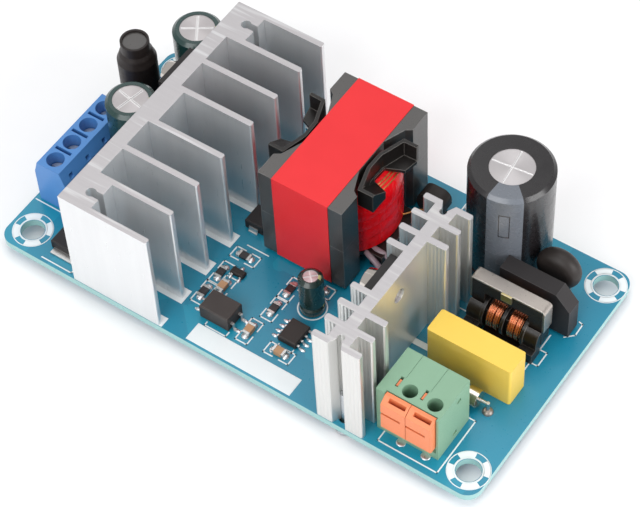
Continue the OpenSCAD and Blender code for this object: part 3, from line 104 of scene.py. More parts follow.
class Graph:
    """The node tree of one material, read on Object coordinates in metres."""

    def __init__(self, name: str) -> None:
        """Starts an empty material.

        Args:
            name: the material's name.
        """
        self.material = bpy.data.materials.new(name)
        self.material.use_nodes = True
        self.tree = self.material.node_tree
        self.tree.nodes.clear()
        self.place = self.add("TexCoord", {}, out="Object")

    def add(self, kind: str, inputs: dict[Any, Any] | tuple[Any, ...], out: str = "", **settings: Any) -> Any:
        """Adds one node with its settings, values and links.

        Args:
            kind: the node's type without its ShaderNode prefix.
            inputs: values or other nodes' outputs, by input name or index, or for the first inputs in their order.
            out: name of the output to return; without it, the first one that the settings leave in use.
            **settings: properties of the node.

        Returns:
            The chosen output, or None from a node that has none.
        """
        node = self.tree.nodes.new("ShaderNode" + kind)
        for key, value in settings.items():
            setattr(node, key, value)
        for key, value in inputs.items() if isinstance(inputs, dict) else enumerate(inputs):
            if isinstance(value, bpy.types.NodeSocket):
                self.tree.links.new(value, node.inputs[key])
            else:
                node.inputs[key].default_value = value
        return node.outputs[out] if out else next((socket for socket in node.outputs if socket.enabled), None)


@dataclass(frozen=True)
class Finish:
    """A surface: its colour, how it drifts, and the grain that its making left."""

    name: str
    base: str
    drift_to: str
    drift: float = 0.35
    drift_mm: float = 6.0
    metallic: float = 0.0
    ior: float = 1.5
    roughness: float = 0.5
    rough_spread: float = 0.08
    # The grain of plating and mouldings is a few hundredths of a millimetre: it is drawn as coarse as it needs to show.
    grain_mm: float = 0.3
    bump: float = 0.15
    depth_mm: float = 0.02
    stretch: Point = (1.0, 1.0, 1.0)
    coat: float = 0.0
    coat_roughness: float = 0.12
    specular: float = 0.5
    transmission: float = 0.0
    edge_mm: float = 0.12
    # Pale edges, partly wear and partly a painted highlight where light catches them: their share and their colour.
    wear_and_edge_sheen: float = 0.0
    wear_and_sheen_to: str = "#8C8A88"

    def paint(self, g: Graph, base: Any) -> Any:
        """Returns the colour socket: a plain finish keeps its drifting base colour."""
        return base

    def relief(self, g: Graph, grain: Any) -> Any:
        """Returns the height socket: a plain finish has only its grain."""
        return grain

    def polish(self, g: Graph, rough: Any) -> Any:
        """Returns the roughness socket: a plain finish keeps it."""
        return rough

    def rub_and_light_edges(self, g: Graph, base: Any, rounded: Any, drift: Any) -> Any:
        """Lightens the edges, more in some places than in others: partly wear where handling has rubbed them, partly a
        painted highlight where light catches the rounded edges.

        Args:
            g: the material's graph.
            base: the colour away from the edges.
            rounded: the normal that turns over the edges.
            drift: the slow noise of the colour.

        Returns:
            The colour with its worn edges.
        """
        flat = g.add("NewGeometry", {}, out="Normal")
        same = g.add("VectorMath", (rounded, flat), operation="DOT_PRODUCT")
        edge = g.add("MapRange", {"Value": same, "From Min": 0.995, "From Max": 0.9, "To Max": self.wear_and_edge_sheen})
        share = g.add("Math", (edge, drift), operation="MULTIPLY", use_clamp=True)
        return g.add("Mix", {"Factor": share, "A": base, "B": colour(self.wear_and_sheen_to)}, data_type="RGBA")

    def extra(self, g: Graph) -> dict[str, Any]:
        """Returns more sockets of the shader: a plain finish has none."""
        return {}

    def build(self) -> bpy.types.Material:
        """Builds the material once and hands out the same one after that.

        Returns:
            The finished material.
        """
        if self.name in BUILT:
            return BUILT[self.name]
        g = Graph(self.name)
        BUILT[self.name] = g.material
        place = g.add("Mapping", {"Vector": g.place, "Scale": self.stretch})
        drift = g.add("TexNoise", {"Vector": place, "Scale": 1000 / self.drift_mm, "Detail": 3.0})
        grain = g.add("TexNoise", {"Vector": place, "Scale": 1000 / self.grain_mm, "Detail": 2.0})
        share = g.add("MapRange", {"Value": drift, "From Min": 0.3, "From Max": 0.7, "To Max": self.drift})
        mixed = g.add("Mix", {"Factor": share, "A": colour(self.base), "B": colour(self.drift_to)}, data_type="RGBA")
        smoothest, roughest = self.roughness - self.rough_spread, self.roughness + self.rough_spread
        rough = g.add(
            "MapRange",
            {"Value": grain, "From Min": 0.25, "From Max": 0.75, "To Min": smoothest, "To Max": roughest},
        )
        rounded = g.add("Bevel", {"Radius": self.edge_mm * MM}, samples=4)
        height = self.relief(g, grain)
        bump = g.add(
            "Bump",
            {"Height": height, "Strength": self.bump, "Distance": self.depth_mm * MM, "Normal": rounded},
        )
        painted = self.paint(g, mixed)
        # Edges lightened: partly wear, partly a painted highlight.
        if self.wear_and_edge_sheen:
            painted = self.rub_and_light_edges(g, painted, rounded, drift)
        shader = g.add(
            "BsdfPrincipled",
            {
                "Base Color": painted,
                "Roughness": self.polish(g, rough),
                "Normal": bump,
                "Metallic": self.metallic,
                "IOR": self.ior,
                "Specular IOR Level": self.specular,
                "Coat Weight": self.coat,
                "Coat Roughness": self.coat_roughness,
                "Transmission Weight": self.transmission,
                **self.extra(g),
            },
        )
        g.add("OutputMaterial", {"Surface": shader})
        g.material.diffuse_color = colour(self.base)
        return g.material


@dataclass(frozen=True)
class Extrusion(Finish):
    """Extruded aluminium: die lines along Z, fine ribs on the fins' flanks and sawn ends."""

    rib_mm: float = 0.0
    rib_height: float = 3.0
    sawn: float = 0.35
    sawn_to: str = "#BEBBBD"
    # The saw's scratches are about 0.1 mm apart: both patterns are drawn as coarse as they need to show.
    scratch_mm: float = 10 / 9
    streak_mm: float = 0.625

    def ends(self, g: Graph) -> Any:
        """Returns 1 on the sawn ends, which look up, and 0 elsewhere."""
        up = g.add("SeparateXYZ", {"Vector": g.add("NewGeometry", {}, out="Normal")}, out="Z")
        return g.add("Math", (up, 0.9), operation="GREATER_THAN")

    def paint(self, g: Graph, base: Any) -> Any:
        """Greys the sawn ends, with paler scratches along the saw's cut.

        Args:
            g: the material's graph.
            base: the colour of the drawn faces.

        Returns:
            The colour of all the faces.
        """
        cut = g.add("Mapping", {"Vector": g.place, "Rotation": (0, 0, 0.95), "Scale": (0.05, 1.0, 1.0)})
        streak = g.add("TexNoise", {"Vector": cut, "Scale": 1000 / self.scratch_mm, "Detail": 3.0})
        pale = g.add("MapRange", {"Value": streak, "From Min": 0.58, "From Max": 0.7, "To Min": 1.0, "To Max": 0.55})
        share = g.add("Math", (self.ends(g), pale), operation="MULTIPLY")
        return g.add("Mix", {"Factor": share, "A": base, "B": colour(self.sawn_to)}, data_type="RGBA")

    def relief(self, g: Graph, grain: Any) -> Any:
        """Adds the die's ribs across X on the faces that look along Y.

        Args:
            g: the material's graph.
            grain: the height of the fine grain.

        Returns:
            The height of both together.
        """
        if not self.rib_mm:
            return grain
        x = g.add("SeparateXYZ", {"Vector": g.place}, out="X")
        side = g.add("SeparateXYZ", {"Vector": g.add("NewGeometry", {}, out="Normal")}, out="Y")
        turn = g.add("Math", (x, math.tau * 1000 / self.rib_mm), operation="MULTIPLY")
        wave = g.add("Math", (turn,), operation="SINE")
        flank = g.add("Math", (side,), operation="ABSOLUTE")
        ribs = g.add("Math", (wave, flank), operation="MULTIPLY")
        return g.add("Math", (ribs, self.rib_height, grain), operation="MULTIPLY_ADD")

    def polish(self, g: Graph, rough: Any) -> Any:
        """Roughens the sawn ends and streaks them along the saw's cut.

        Args:
            g: the material's graph.
            rough: the roughness of the drawn faces.

        Returns:
            The roughness of all the faces.
        """
        cut = g.add("Mapping", {"Vector": g.place, "Rotation": (0, 0, 0.5), "Scale": (0.06, 1.0, 1.0)})
        streak = g.add("TexNoise", {"Vector": cut, "Scale": 1000 / self.streak_mm, "Detail": 3.0})
        more = g.add("Math", (streak, self.sawn), operation="MULTIPLY")
        return g.add("Math", (self.ends(g), more, rough), operation="MULTIPLY_ADD", use_clamp=True)


@dataclass(frozen=True)
class SolderMask(Finish):
    """Solder mask over copper: broad pours show a little lighter than the bare laminate."""

    pour: str = "#1FA0BA"
    pour_mm: float = 13.0
    pour_share: float = 0.3
    laminate: str = "#8FBDBB"

    def paint(self, g: Graph, base: Any) -> Any:
        """Lightens the mask where copper lies under it, and shows the bare laminate on the cut edges.

        Args:
            g: the material's graph.
            base: the mask's colour over bare laminate.

        Returns:
            The colour with the pours.
        """
        grid = g.add(
            "TexVoronoi", {"Vector": g.place, "Scale": 1000 / self.pour_mm}, out="Color", distance="CHEBYCHEV"
        )
        tint = g.add("SeparateColor", {"Color": grid}, out="Red")
        pour = g.add("MapRange", {"Value": tint, "From Min": 0.42, "From Max": 0.44, "To Max": self.pour_share})
        masked = g.add("Mix", {"Factor": pour, "A": base, "B": colour(self.pour)}, data_type="RGBA")
        up = g.add("SeparateXYZ", {"Vector": g.add("NewGeometry", {}, out="Normal")}, out="Z")
        level = g.add("Math", (up,), operation="ABSOLUTE")
        cut = g.add("Math", (level, 0.5), operation="LESS_THAN")
        return g.add("Mix", {"Factor": cut, "A": masked, "B": colour(self.laminate)}, data_type="RGBA")


@dataclass(frozen=True)
class Can(Finish):
    """A finish that is laid round the axis of one can, or of the nearer of two."""

    centres: tuple[Pair, ...] = ((0.0, 0.0),)

    def far(self, g: Graph) -> Any:
        """Tells the two cans apart by the side on which a point lies.

        Args:
            g: the material's graph.

        Returns:
            1 on the second can and 0 on the first.
        """
        if len(self.centres) == 1:
            return 0.0
        y = g.add("SeparateXYZ", {"Vector": g.place}, out="Y")
        return g.add("Math", (y, (self.centres[0][1] + self.centres[1][1]) / 2 * MM), operation="GREATER_THAN")

    def arm(self, g: Graph) -> Any:
        """Measures from the nearer can.

        Args:
            g: the material's graph.

        Returns:
            The way from the foot of the can's axis to the point.
        """
        first, last = (Vector((*centre, 0.0)) * MM for centre in (self.centres[0], self.centres[-1]))
        step = g.add("VectorMath", {0: last - first, "Scale": self.far(g)}, operation="SCALE")
        centre = g.add("VectorMath", (step, first), operation="ADD")
        return g.add("VectorMath", (g.place, centre), operation="SUBTRACT")


@dataclass(frozen=True)
class Sleeve(Can):
    """A printed shrink sleeve: a stripe down the negative side with dashes on it."""

    stripe: str = "#676C74"
    mark: str = "#2B2B2D"
    stripe_deg: float = -68.0
    half_deg: float = 24.5
    dash_deg: float = 6.0
    dash_mm: tuple[float, ...] = (8.0, 14.0, 20.0)
    dash_half_mm: float = 0.5
    hollow: float = 0.0
    rim_mm: float = 1.6

    def dashes(self, g: Graph, z: Any, off: Any, half_mm: float, half_deg: float) -> Any:
        """Marks a row of dashes up the stripe.

        Args:
            g: the material's graph.
            z: the height.
            off: the angle away from the middle of the stripe.
            half_mm: half the height of a dash.
            half_deg: half the angle that it covers.

        Returns:
            1 on the dashes and 0 elsewhere.
        """
        rows: Any = 0.0
        for height in self.dash_mm:
            near = g.add("Math", (z, height * MM, half_mm * MM), operation="COMPARE")
            rows = g.add("Math", (near, rows), operation="MAXIMUM")
        narrow = g.add("Math", (off, math.radians(half_deg)), operation="LESS_THAN")
        return g.add("Math", (rows, narrow), operation="MULTIPLY")

    def paint(self, g: Graph, base: Any) -> Any:
        """Prints the stripe and its dashes round each can's own axis.

        Args:
            g: the material's graph.
            base: the sleeve's colour.

        Returns:
            The printed colour.
        """
        x, y, z = g.add("SeparateXYZ", {"Vector": self.arm(g)}).node.outputs
        angle = g.add("Math", (y, x), operation="ARCTAN2")
        turned = g.add("Math", (angle, math.radians(self.stripe_deg)), operation="SUBTRACT")
        wrapped = g.add("Math", (turned, math.pi, -math.pi), operation="WRAP")
        off = g.add("Math", (wrapped,), operation="ABSOLUTE")
        on = g.add("Math", (off, math.radians(self.half_deg)), operation="LESS_THAN")
        marks = self.dashes(g, z, off, self.dash_half_mm, self.dash_deg)
        if self.hollow:
            inner_mm = self.dash_half_mm - (1 - self.hollow) * self.rim_mm
            middle = self.dashes(g, z, off, inner_mm, self.dash_deg * self.hollow)
            marks = g.add("Math", (marks, middle), operation="SUBTRACT", use_clamp=True)
        striped = g.add("Mix", {"Factor": on, "A": base, "B": colour(self.stripe)}, data_type="RGBA")
        return g.add("Mix", {"Factor": marks, "A": striped, "B": colour(self.mark)}, data_type="RGBA")


@dataclass(frozen=True)
class Package(Finish):
    """A moulded package: black epoxy in the plan of its body, and tinned leads outside it."""

    roughness: float = 0.55
    specular: float = 0.35
    grain_mm: float = 0.12
    bump: float = 0.35
    wear_and_edge_sheen: float = 0.5
    body: Area = (0.0, 0.0, 1.0, 1.0)
    body_gap_mm: float = 0.01
    lead: str = "#D6D6D5"
    lead_gloss: float = 0.22

    def leads(self, g: Graph) -> Any:
        """Tells the leads from the body by the body's plan.

        Args:
            g: the material's graph.

        Returns:
            1 on the leads and 0 on the body.
        """
        beyond = []
        sockets = g.add("SeparateXYZ", {"Vector": g.place}).node.outputs
        for socket, middle, half in zip(sockets, self.body[:2], self.body[2:]):
            off = g.add("Math", (socket, middle * MM), operation="SUBTRACT")
            reach = g.add("Math", (off,), operation="ABSOLUTE")
            beyond.append(g.add("Math", (reach, (half + self.body_gap_mm) * MM), operation="GREATER_THAN"))
        return g.add("Math", (beyond[0], beyond[1]), operation="MAXIMUM")

    def paint(self, g: Graph, base: Any) -> Any:
        """Returns the epoxy's colour with the leads in tin."""
        return g.add("Mix", {"Factor": self.leads(g), "A": base, "B": colour(self.lead)}, data_type="RGBA")

    def polish(self, g: Graph, rough: Any) -> Any:
        """Returns the epoxy's roughness, less on the leads."""
        return g.add("Math", (self.leads(g), -self.lead_gloss, rough), operation="MULTIPLY_ADD", use_clamp=True)

    def extra(self, g: Graph) -> dict[str, Any]:
        """Returns the metal of the leads."""
        return {"Metallic": self.leads(g)}


@dataclass(frozen=True)
class Spun(Can):
    """Drawn aluminium with fine turning lines round each can's own axis, and a painted highlight on the lines of its
    vent.
    """

    metallic: float = 0.9
    roughness: float = 0.36
    bump: float = 0.06
    turns_deg: tuple[float, ...] = (0.0,)
    vent_mm: float = 4.0
    line_mm: float = 0.2
    line_fade_mm: float = 0.12
    # Share of white mixed into the vent's lines: a painted highlight.
    line_painted_highlight: float = 0.6
    # The turning lines are too fine to draw: a highlight that is stretched across them stands for them.
    grain_pull: float = 0.6

    def paint(self, g: Graph, base: Any) -> Any:
        """Paints the pressed lines of the vent brighter: a painted highlight for the light that their grooves catch.

        Args:
            g: the material's graph.
            base: the colour of the can.

        Returns:
            The colour with its lines.
        """
        first, last = (-math.radians(v) for v in (self.turns_deg[0], self.turns_deg[-1]))
        angle = g.add("Math", (self.far(g), last - first, first), operation="MULTIPLY_ADD")
        level = g.add(
            "VectorRotate", {"Vector": self.arm(g), "Axis": (0.0, 0.0, 1.0), "Angle": angle}, rotation_type="AXIS_ANGLE"
        )
        size = g.add("VectorMath", (level,), operation="ABSOLUTE")
        x, y, _ = g.add("SeparateXYZ", {"Vector": size}).node.outputs
        near = g.add("Math", (x, y), operation="MINIMUM")
        reach = g.add("Math", (x, y), operation="MAXIMUM")
        edges = {"From Min": self.line_mm * MM, "From Max": (self.line_mm + self.line_fade_mm) * MM}
        on = g.add("MapRange", {"Value": near, **edges, "To Min": self.line_painted_highlight, "To Max": 0.0})
        inside = g.add("Math", (reach, self.vent_mm * MM), operation="LESS_THAN")
        share = g.add("Math", (on, inside), operation="MULTIPLY")
        # Painted highlight: white mixed into the vent's lines.
        return g.add("Mix", {"Factor": share, "A": base, "B": colour("#FFFFFF")}, data_type="RGBA")

    def extra(self, g: Graph) -> dict[str, Any]:
        """Turns the grain round the axis of the can.

        Args:
            g: the material's graph.

        Returns:
            The grain's strength and its direction.
        """
        round_ = g.add("VectorMath", ((0.0, 0.0, 1.0), self.arm(g)), operation="CROSS_PRODUCT")
        along = g.add("VectorMath", (round_,), operation="NORMALIZE")
        return {"Anisotropic": self.grain_pull, "Anisotropic Rotation": 0.25, "Tangent": along}


@dataclass(frozen=True)
class Tongued(Finish):
    """Folded tin plate with a tongue of bare brass in front of its own plane."""

    tongue: str = "#CDBD86"
    plane_mm: float = 4.45

    def paint(self, g: Graph, base: Any) -> Any:
        """Bares the brass in front of the tongue's plane.

        Args:
            g: the material's graph.
            base: the plate's colour.

        Returns:
            The plate's colour with the tongue in brass.
        """
        y = g.add("SeparateXYZ", {"Vector": g.place}, out="Y")
        front = g.add("Math", (y, self.plane_mm * MM), operation="LESS_THAN")
        return g.add("Mix", {"Factor": front, "A": base, "B": colour(self.tongue)}, data_type="RGBA")


@dataclass(frozen=True)
class Film(Finish):
    """Polyester tape: glossy, with soft wrinkles where it was pulled tight."""

    wrinkle_mm: float = 2.2
    wrinkle_height: float = 4.0
    wrinkle_squeeze: Point = (1.0, 1.0, 0.45)

    def relief(self, g: Graph, grain: Any) -> Any:
        """Adds long shallow wrinkles to the film's grain.

        Args:
            g: the material's graph.
            grain: the height of the fine grain.

        Returns:
            The height of both together.
        """
        place = g.add("Mapping", {"Vector": g.place, "Scale": self.wrinkle_squeeze})
        scale = 1000 / self.wrinkle_mm
        folds = g.add("TexNoise", {"Vector": place, "Scale": scale, "Detail": 3.0, "Distortion": 0.8})
        return g.add("Math", (folds, self.wrinkle_height, grain), operation="MULTIPLY_ADD")


class Palette(Enum):
    """Every finish of the power supply."""

    # Glass-epoxy laminate under glossy teal solder mask: a wet shine, with paler fields over the copper.
    BOARD = SolderMask("teal_solder_mask", "#11829F", "#0C7593", roughness=0.34, coat=0.35,
                       grain_mm=0.5, bump=0.05, drift_mm=16.0, drift=0.6)
    # Screen-printed epoxy ink: matt white, slightly uneven.
    INK = Finish("white_ink", "#E6EDEF", "#D6DFE2", roughness=0.6, grain_mm=0.25, bump=0.2)
    # Wave-soldered tin: bright, with a soft grain where it froze.
    SOLDER = Finish("tin_solder", "#DFE1E3", "#C4C8CC", metallic=0.9, roughness=0.32, grain_mm=0.6, bump=0.3)
    # Hand-soldered tin that has taken up flux: grey-brown and dull.
    DULL_SOLDER = Finish("dull_solder", "#9C938C", "#7F766F", metallic=0.8, roughness=0.42, grain_mm=0.4, bump=0.4)
    # Tin-plated copper wire and strip: pale grey, with a satin shine.
    TINNED = Finish("tinned_copper", "#CFCFCD", "#A9A9A8", metallic=1.0, roughness=0.3, grain_mm=0.2)
    # Zinc-plated steel: a faint blue sheen, a little rough.
    STEEL = Finish("zinc_steel", "#C3C7CC", "#9CA1A8", metallic=1.0, roughness=0.32)
    # Nickel-plated brass: a warm, tight shine on the fuse's caps.
    NICKEL = Finish("nickel_plate", "#D6D0C4", "#B8B0A2", metallic=1.0, roughness=0.2)
    # Zinc-plated steel on the terminal's screws, painted paler than the clamps' zinc: a painted highlight that keeps
    # them nearly white deep in their shaded wells.
    LIT_SCREW = Finish("lit_screw_zinc", "#E2E3E4", "#CFD0D2", metallic=0.85, roughness=0.36, bump=0.3)
    # Polished nickel on pan heads: they mirror the lamps.
    HEAD = Finish("plated_screw", "#D9D2CC", "#BBB2AB", metallic=1.0, roughness=0.14, rough_spread=0.04, grain_mm=0.4)
    # Extruded aluminium: fine die lines along its length.
    SINK = Extrusion(
        "extruded_aluminium", "#E6E7E8", "#D9DADC", metallic=0.75, roughness=0.32, rough_spread=0.05,
        stretch=(1.0, 1.0, 0.03), grain_mm=0.16, bump=0.2, depth_mm=0.012, drift_mm=2.5,
    )
    # The same alloy from a ribbed die: close ribs that stripe the flanks of the fins.
    RIBBED = Extrusion(
        "ribbed_aluminium", "#DDDDDB", "#CFCFCC", metallic=0.82, roughness=0.34, rough_spread=0.06,
        stretch=(1.0, 1.0, 0.03), grain_mm=0.16, bump=0.32, depth_mm=0.03, drift_mm=2.5, rib_mm=0.75,
    )
    # Deep-drawn aluminium with an etched top: a satin fan of light, and a painted highlight on the pressed lines of the
    # vent.
    OUTPUT_CAN = Spun("output_can_aluminium", "#BFBABB", "#AEA9AA", centres=((-40.45, -0.9), (-40.45, 20.35)),
                      turns_deg=(-12.0, 33.0), vent_mm=3.2)
    BULK_CAN = Spun("bulk_can_aluminium", "#C4C0C1", "#B4B0B1", centres=((30.4, 19.9),), turns_deg=(6.0,),
                    vent_mm=4.1, line_mm=0.12)
    SUPPLY_CAN = Spun("supply_can_aluminium", "#C9C1C4", "#B9B1B4", metallic=0.85, roughness=0.42,
                      centres=((6.2, -9.9),), turns_deg=(45.0,), vent_mm=1.4, line_mm=0.1)
    # Glass-filled nylon from a spark-eroded mould: an even colour with a fine satin skin.
    BLUE = Finish("blue_nylon", "#4E88C9", "#437DBE", roughness=0.42, ior=1.53, grain_mm=0.18, bump=0.2)
    MINT = Finish("mint_nylon", "#7FA489", "#769A80", ior=1.53, grain_mm=0.25, bump=0.4)
    ORANGE = Finish("orange_nylon", "#E68557", "#DD784B", roughness=0.45, ior=1.53, grain_mm=0.18, bump=0.2)
    # Transfer-moulded epoxy: black with a matt, sandblasted skin, and on the chips tinned leads beside it.
    EPOXY = Finish("moulding_compound", "#242122", "#2D2A2B", roughness=0.55, ior=1.55, specular=0.35, grain_mm=0.12,
                   bump=0.35, wear_and_edge_sheen=0.5)
    OPTO = Package("optocoupler_body", "#3C3634", "#46403E", roughness=0.52, wear_and_edge_sheen=0.7, body=(-7.0, -20.5, 3.2, 2.3))
    CHIP = Package("controller_body", "#2D2826", "#37312F", wear_and_edge_sheen=0.4, body=(6.95, -16.9, 1.95, 2.45))
    SMALL = Package("small_transistor_body", "#25211F", "#2F2A28", bump=0.15, wear_and_edge_sheen=0.4, body=(-9.9, -11.1, 1.45, 0.7))
    DIODE = Package("diode_body", "#242122", "#2D2A2B", body=(-13.3, 1.05, 2.0, 2.25))
    CORNER = Package("corner_transistor_body", "#242122", "#2D2A2B", body=(-40.2, -22.1, 3.3, 3.05))
    # Phenolic resin, moulded: nearly black, with a low shine and pale edges, partly rubbed and partly a painted
    # highlight where light catches them.
    PHENOLIC = Finish("phenolic_resin", "#141110", "#1F1B19", roughness=0.34, ior=1.6, specular=0.35, grain_mm=0.4,
                      wear_and_edge_sheen=1.0, wear_and_sheen_to="#A09A94", edge_mm=0.16)
    # Sintered ferrite, ground: charcoal, with smooth faces and pale edges, partly chipped and partly a painted
    # highlight.
    FERRITE = Finish("sintered_ferrite", "#2D2927", "#3C3835", roughness=0.34, ior=1.8, specular=0.6, grain_mm=0.25,
                     bump=0.3, edge_mm=0.2, wear_and_edge_sheen=0.9)
    # The same under black lacquer: darker, with softer edges.
    BLACK_CORE = Finish("lacquered_ferrite", "#191514", "#241F1C", roughness=0.32, specular=0.4,
                        bump=0.25, edge_mm=0.15, wear_and_edge_sheen=0.4)
    # Polyester tape round the core: clear red, with soft wrinkles.
    TAPE = Film("red_polyester", "#DC282D", "#D12126", roughness=0.36, specular=0.3, coat=0.1, wrinkle_mm=5.0,
                bump=0.12, depth_mm=0.03)
    # The same pulled tight round the winding: glossier, with sharp broken highlights, and painted a brighter red than
    # the core's tape: painted light against the shade that the winding sits in.
    WRAP = Film("lit_winding_polyester", "#F5121E", "#D80C18", roughness=0.15, rough_spread=0.03, ior=1.45, specular=0.2,
                coat=0.2, grain_mm=1.2, bump=0.6, depth_mm=0.25, wrinkle_mm=3.0)
    # Enamelled copper wire: a warm metal under clear lacquer.
    COPPER = Finish("enamelled_copper", "#DE8A62", "#C06A42", metallic=0.95, roughness=0.24, coat=0.4, grain_mm=0.4)
    # Thin copper strands under amber varnish: they look golden.
    GOLD_WIRE = Finish("varnished_copper", "#D99A55", "#B97A38", metallic=0.85, roughness=0.3, coat=0.4, grain_mm=0.4)
    # Thin fluoropolymer tube over copper: mauve-grey, because the wire shows through.
    TUBE = Finish("wire_tube", "#9C8790", "#876F78", roughness=0.4, grain_mm=0.4, coat=0.2)
    # Polyolefin heat-shrink tube: black and softly shining, a little uneven over what it holds.
    SHRINK = Finish("heat_shrink", "#231D1C", "#2C2523", roughness=0.45, specular=0.35, grain_mm=0.8, bump=0.2,
                    depth_mm=0.05)
    # Shrunk polyester film, printed grey on black: smooth and glossy.
    BLACK_SLEEVE = Sleeve("black_sleeve", "#1A181A", "#232022", roughness=0.26, coat=0.2, grain_mm=2.0, bump=0.02,
                          centres=((30.4, 19.9),), dash_deg=7.5, dash_mm=(21.0,), dash_half_mm=3.2, hollow=0.84)
    # The same film printed gold on dark green.
    GREEN_SLEEVE = Sleeve(
        "green_sleeve", "#173634", "#1E423F", roughness=0.28, coat=0.35, grain_mm=2.0, bump=0.03,
        centres=((-40.45, -0.9), (-40.45, 20.35)), stripe="#1B3B38", mark="#C3C56C", stripe_deg=26.0,
        half_deg=24.0, dash_deg=11.0, dash_mm=(6.0, 10.0, 14.0, 18.0, 23.0), dash_half_mm=0.4,
    )
    SMALL_SLEEVE = Sleeve(
        "small_green_sleeve", "#1B2B29", "#243D39", roughness=0.28, coat=0.35, grain_mm=2.0, bump=0.03,
        centres=((6.2, -9.9),), stripe="#20332F", mark="#B4B77C", stripe_deg=25.0, half_deg=30.0,
        dash_deg=16.0, dash_mm=(3.5, 6.0, 8.5, 11.55), dash_half_mm=0.25,
    )
    # Butyl rubber in the can's mouth: dead matt black.
    SEAL = Finish("butyl_seal", "#1A1716", "#231F1E", roughness=0.7, bump=0.3)
    # Flame-retardant polyester box: a warm yellow with a waxy shine.
    YELLOW = Finish("yellow_box", "#E8C450", "#E2BC46", roughness=0.42, grain_mm=0.5, bump=0.12, coat=0.15)
    # Dipped phenolic resin: dull brown-black, with the uneven skin of a dried drop.
    DIPPED = Finish("dipped_resin", "#272220", "#332C29", roughness=0.48, specular=0.35, grain_mm=0.9, bump=0.3,
                    depth_mm=0.06)
    # Soda glass: clear and smooth, so that the ends of the fuse show through it.
    GLASS = Finish("fuse_glass", "#E6EFEC", "#DDE9E6", roughness=0.06, rough_spread=0.02, ior=1.52, transmission=0.9)
    # Folded tin-plated steel: brownish grey with bright folds, partly worn and partly a painted highlight, and a bare
    # brass tongue.
    CLIP = Tongued("tinned_clip", "#BDB5AE", "#A39B94", metallic=1.0, roughness=0.34, grain_mm=0.35, bump=0.3,
                   edge_mm=0.22, wear_and_edge_sheen=1.0, wear_and_sheen_to="#E6E1DC")
    # Black glaze on alumina: smooth, with a hard shine.
    RESISTOR = Finish("resistor_glaze", "#211E20", "#2B282A", roughness=0.35, coat=0.3, grain_mm=0.2)
    # Fired ceramic: bare, even tan.
    CERAMIC = Finish("tan_ceramic", "#B58D69", "#A67F5C", grain_mm=0.2)
    # Matt white sheet under the board: plain, so that only soft shadows show on it.
    FLOOR = Finish("studio_floor", "#F4F4F5", "#F1F1F2", roughness=0.9, grain_mm=2.0, bump=0.02)


NODE_FINISH: dict[str, Palette] = {
    "circuit_board": Palette.BOARD,
    "solder_joints": Palette.SOLDER,
    "component_leads": Palette.TINNED,
    "dc_terminal_housing": Palette.BLUE,
    "dc_terminal_pins": Palette.TINNED,
    # The screws take a paler copy of the clamps' zinc: painted light in their shaded wells.
    **{f"dc_terminal_screw_{i}": Palette.LIT_SCREW for i in range(1, 5)},
    **{f"dc_terminal_clamp_{i}": Palette.STEEL for i in range(1, 5)},
    "ac_terminal_housing": Palette.MINT,
    "ac_terminal_button_1": Palette.ORANGE,
    "ac_terminal_button_2": Palette.ORANGE,
    "ac_terminal_springs": Palette.STEEL,
    "ac_terminal_contacts": Palette.TINNED,
    "output_capacitor_cans": Palette.OUTPUT_CAN,
    "output_capacitor_sleeves": Palette.GREEN_SLEEVE,
    "output_inductor_core": Palette.FERRITE,
    "output_inductor_winding": Palette.COPPER,
    "output_inductor_sleeve": Palette.SHRINK,
    "output_rectifier": Palette.EPOXY,
    "corner_transistor": Palette.CORNER,
    "secondary_heatsink": Palette.SINK,
    "primary_heatsink": Palette.RIBBED,
    "heatsink_screws": Palette.STEEL,
    "switching_transistor": Palette.EPOXY,
    "transistor_screws": Palette.HEAD,
    "transformer_core_lower": Palette.FERRITE,
    "transformer_core_upper": Palette.FERRITE,
    "transformer_bobbin": Palette.PHENOLIC,
    "transformer_winding": Palette.COPPER,
    "transformer_winding_tape": Palette.WRAP,
    "transformer_core_tape": Palette.TAPE,
    "transformer_pins": Palette.TINNED,
    "transformer_lead_wires": Palette.TUBE,
    "bulk_capacitor_can": Palette.BULK_CAN,
    "bulk_capacitor_sleeve": Palette.BLACK_SLEEVE,
    "capacitor_seals": Palette.SEAL,
    "bridge_rectifier": Palette.EPOXY,
    "inrush_thermistor": Palette.DIPPED,
    "suppression_capacitor": Palette.DIPPED,
    "choke_core": Palette.BLACK_CORE,
    "choke_bobbin": Palette.PHENOLIC,
    "choke_windings": Palette.COPPER,
    "choke_clip": Palette.CLIP,
    "mains_capacitor": Palette.YELLOW,
    "fuse_tube": Palette.GLASS,
    "fuse_caps": Palette.NICKEL,
    "supply_capacitor_can": Palette.SUPPLY_CAN,
    "supply_capacitor_sleeve": Palette.SMALL_SLEEVE,
    "optocoupler": Palette.OPTO,
    "controller_chip": Palette.CHIP,
    "small_transistor": Palette.SMALL,
    "chip_diode": Palette.DIODE,
    "chip_resistors": Palette.RESISTOR,
    "chip_capacitors": Palette.CERAMIC,
    "chip_terminations": Palette.TINNED,
}


def deselect() -> None:
    """Clears the selection, so that an operator acts on the next piece alone."""
    bpy.ops.object.select_all(action="DESELECT")


def start_edit() -> None:
    """Opens the active object for editing with all of it selected."""
    bpy.ops.object.mode_set(mode="EDIT")
    bpy.ops.mesh.select_all(action="SELECT")


def end_edit(outward: bool = True) -> None:
    """Closes editing.

    Args:
        outward: merges doubles and turns the faces outwards first.
    """
    if outward:
        bpy.ops.mesh.select_all(action="SELECT")
        bpy.ops.mesh.remove_doubles(threshold=1e-6)
        bpy.ops.mesh.normals_make_consistent(inside=False)
    bpy.ops.object.mode_set(mode="OBJECT")


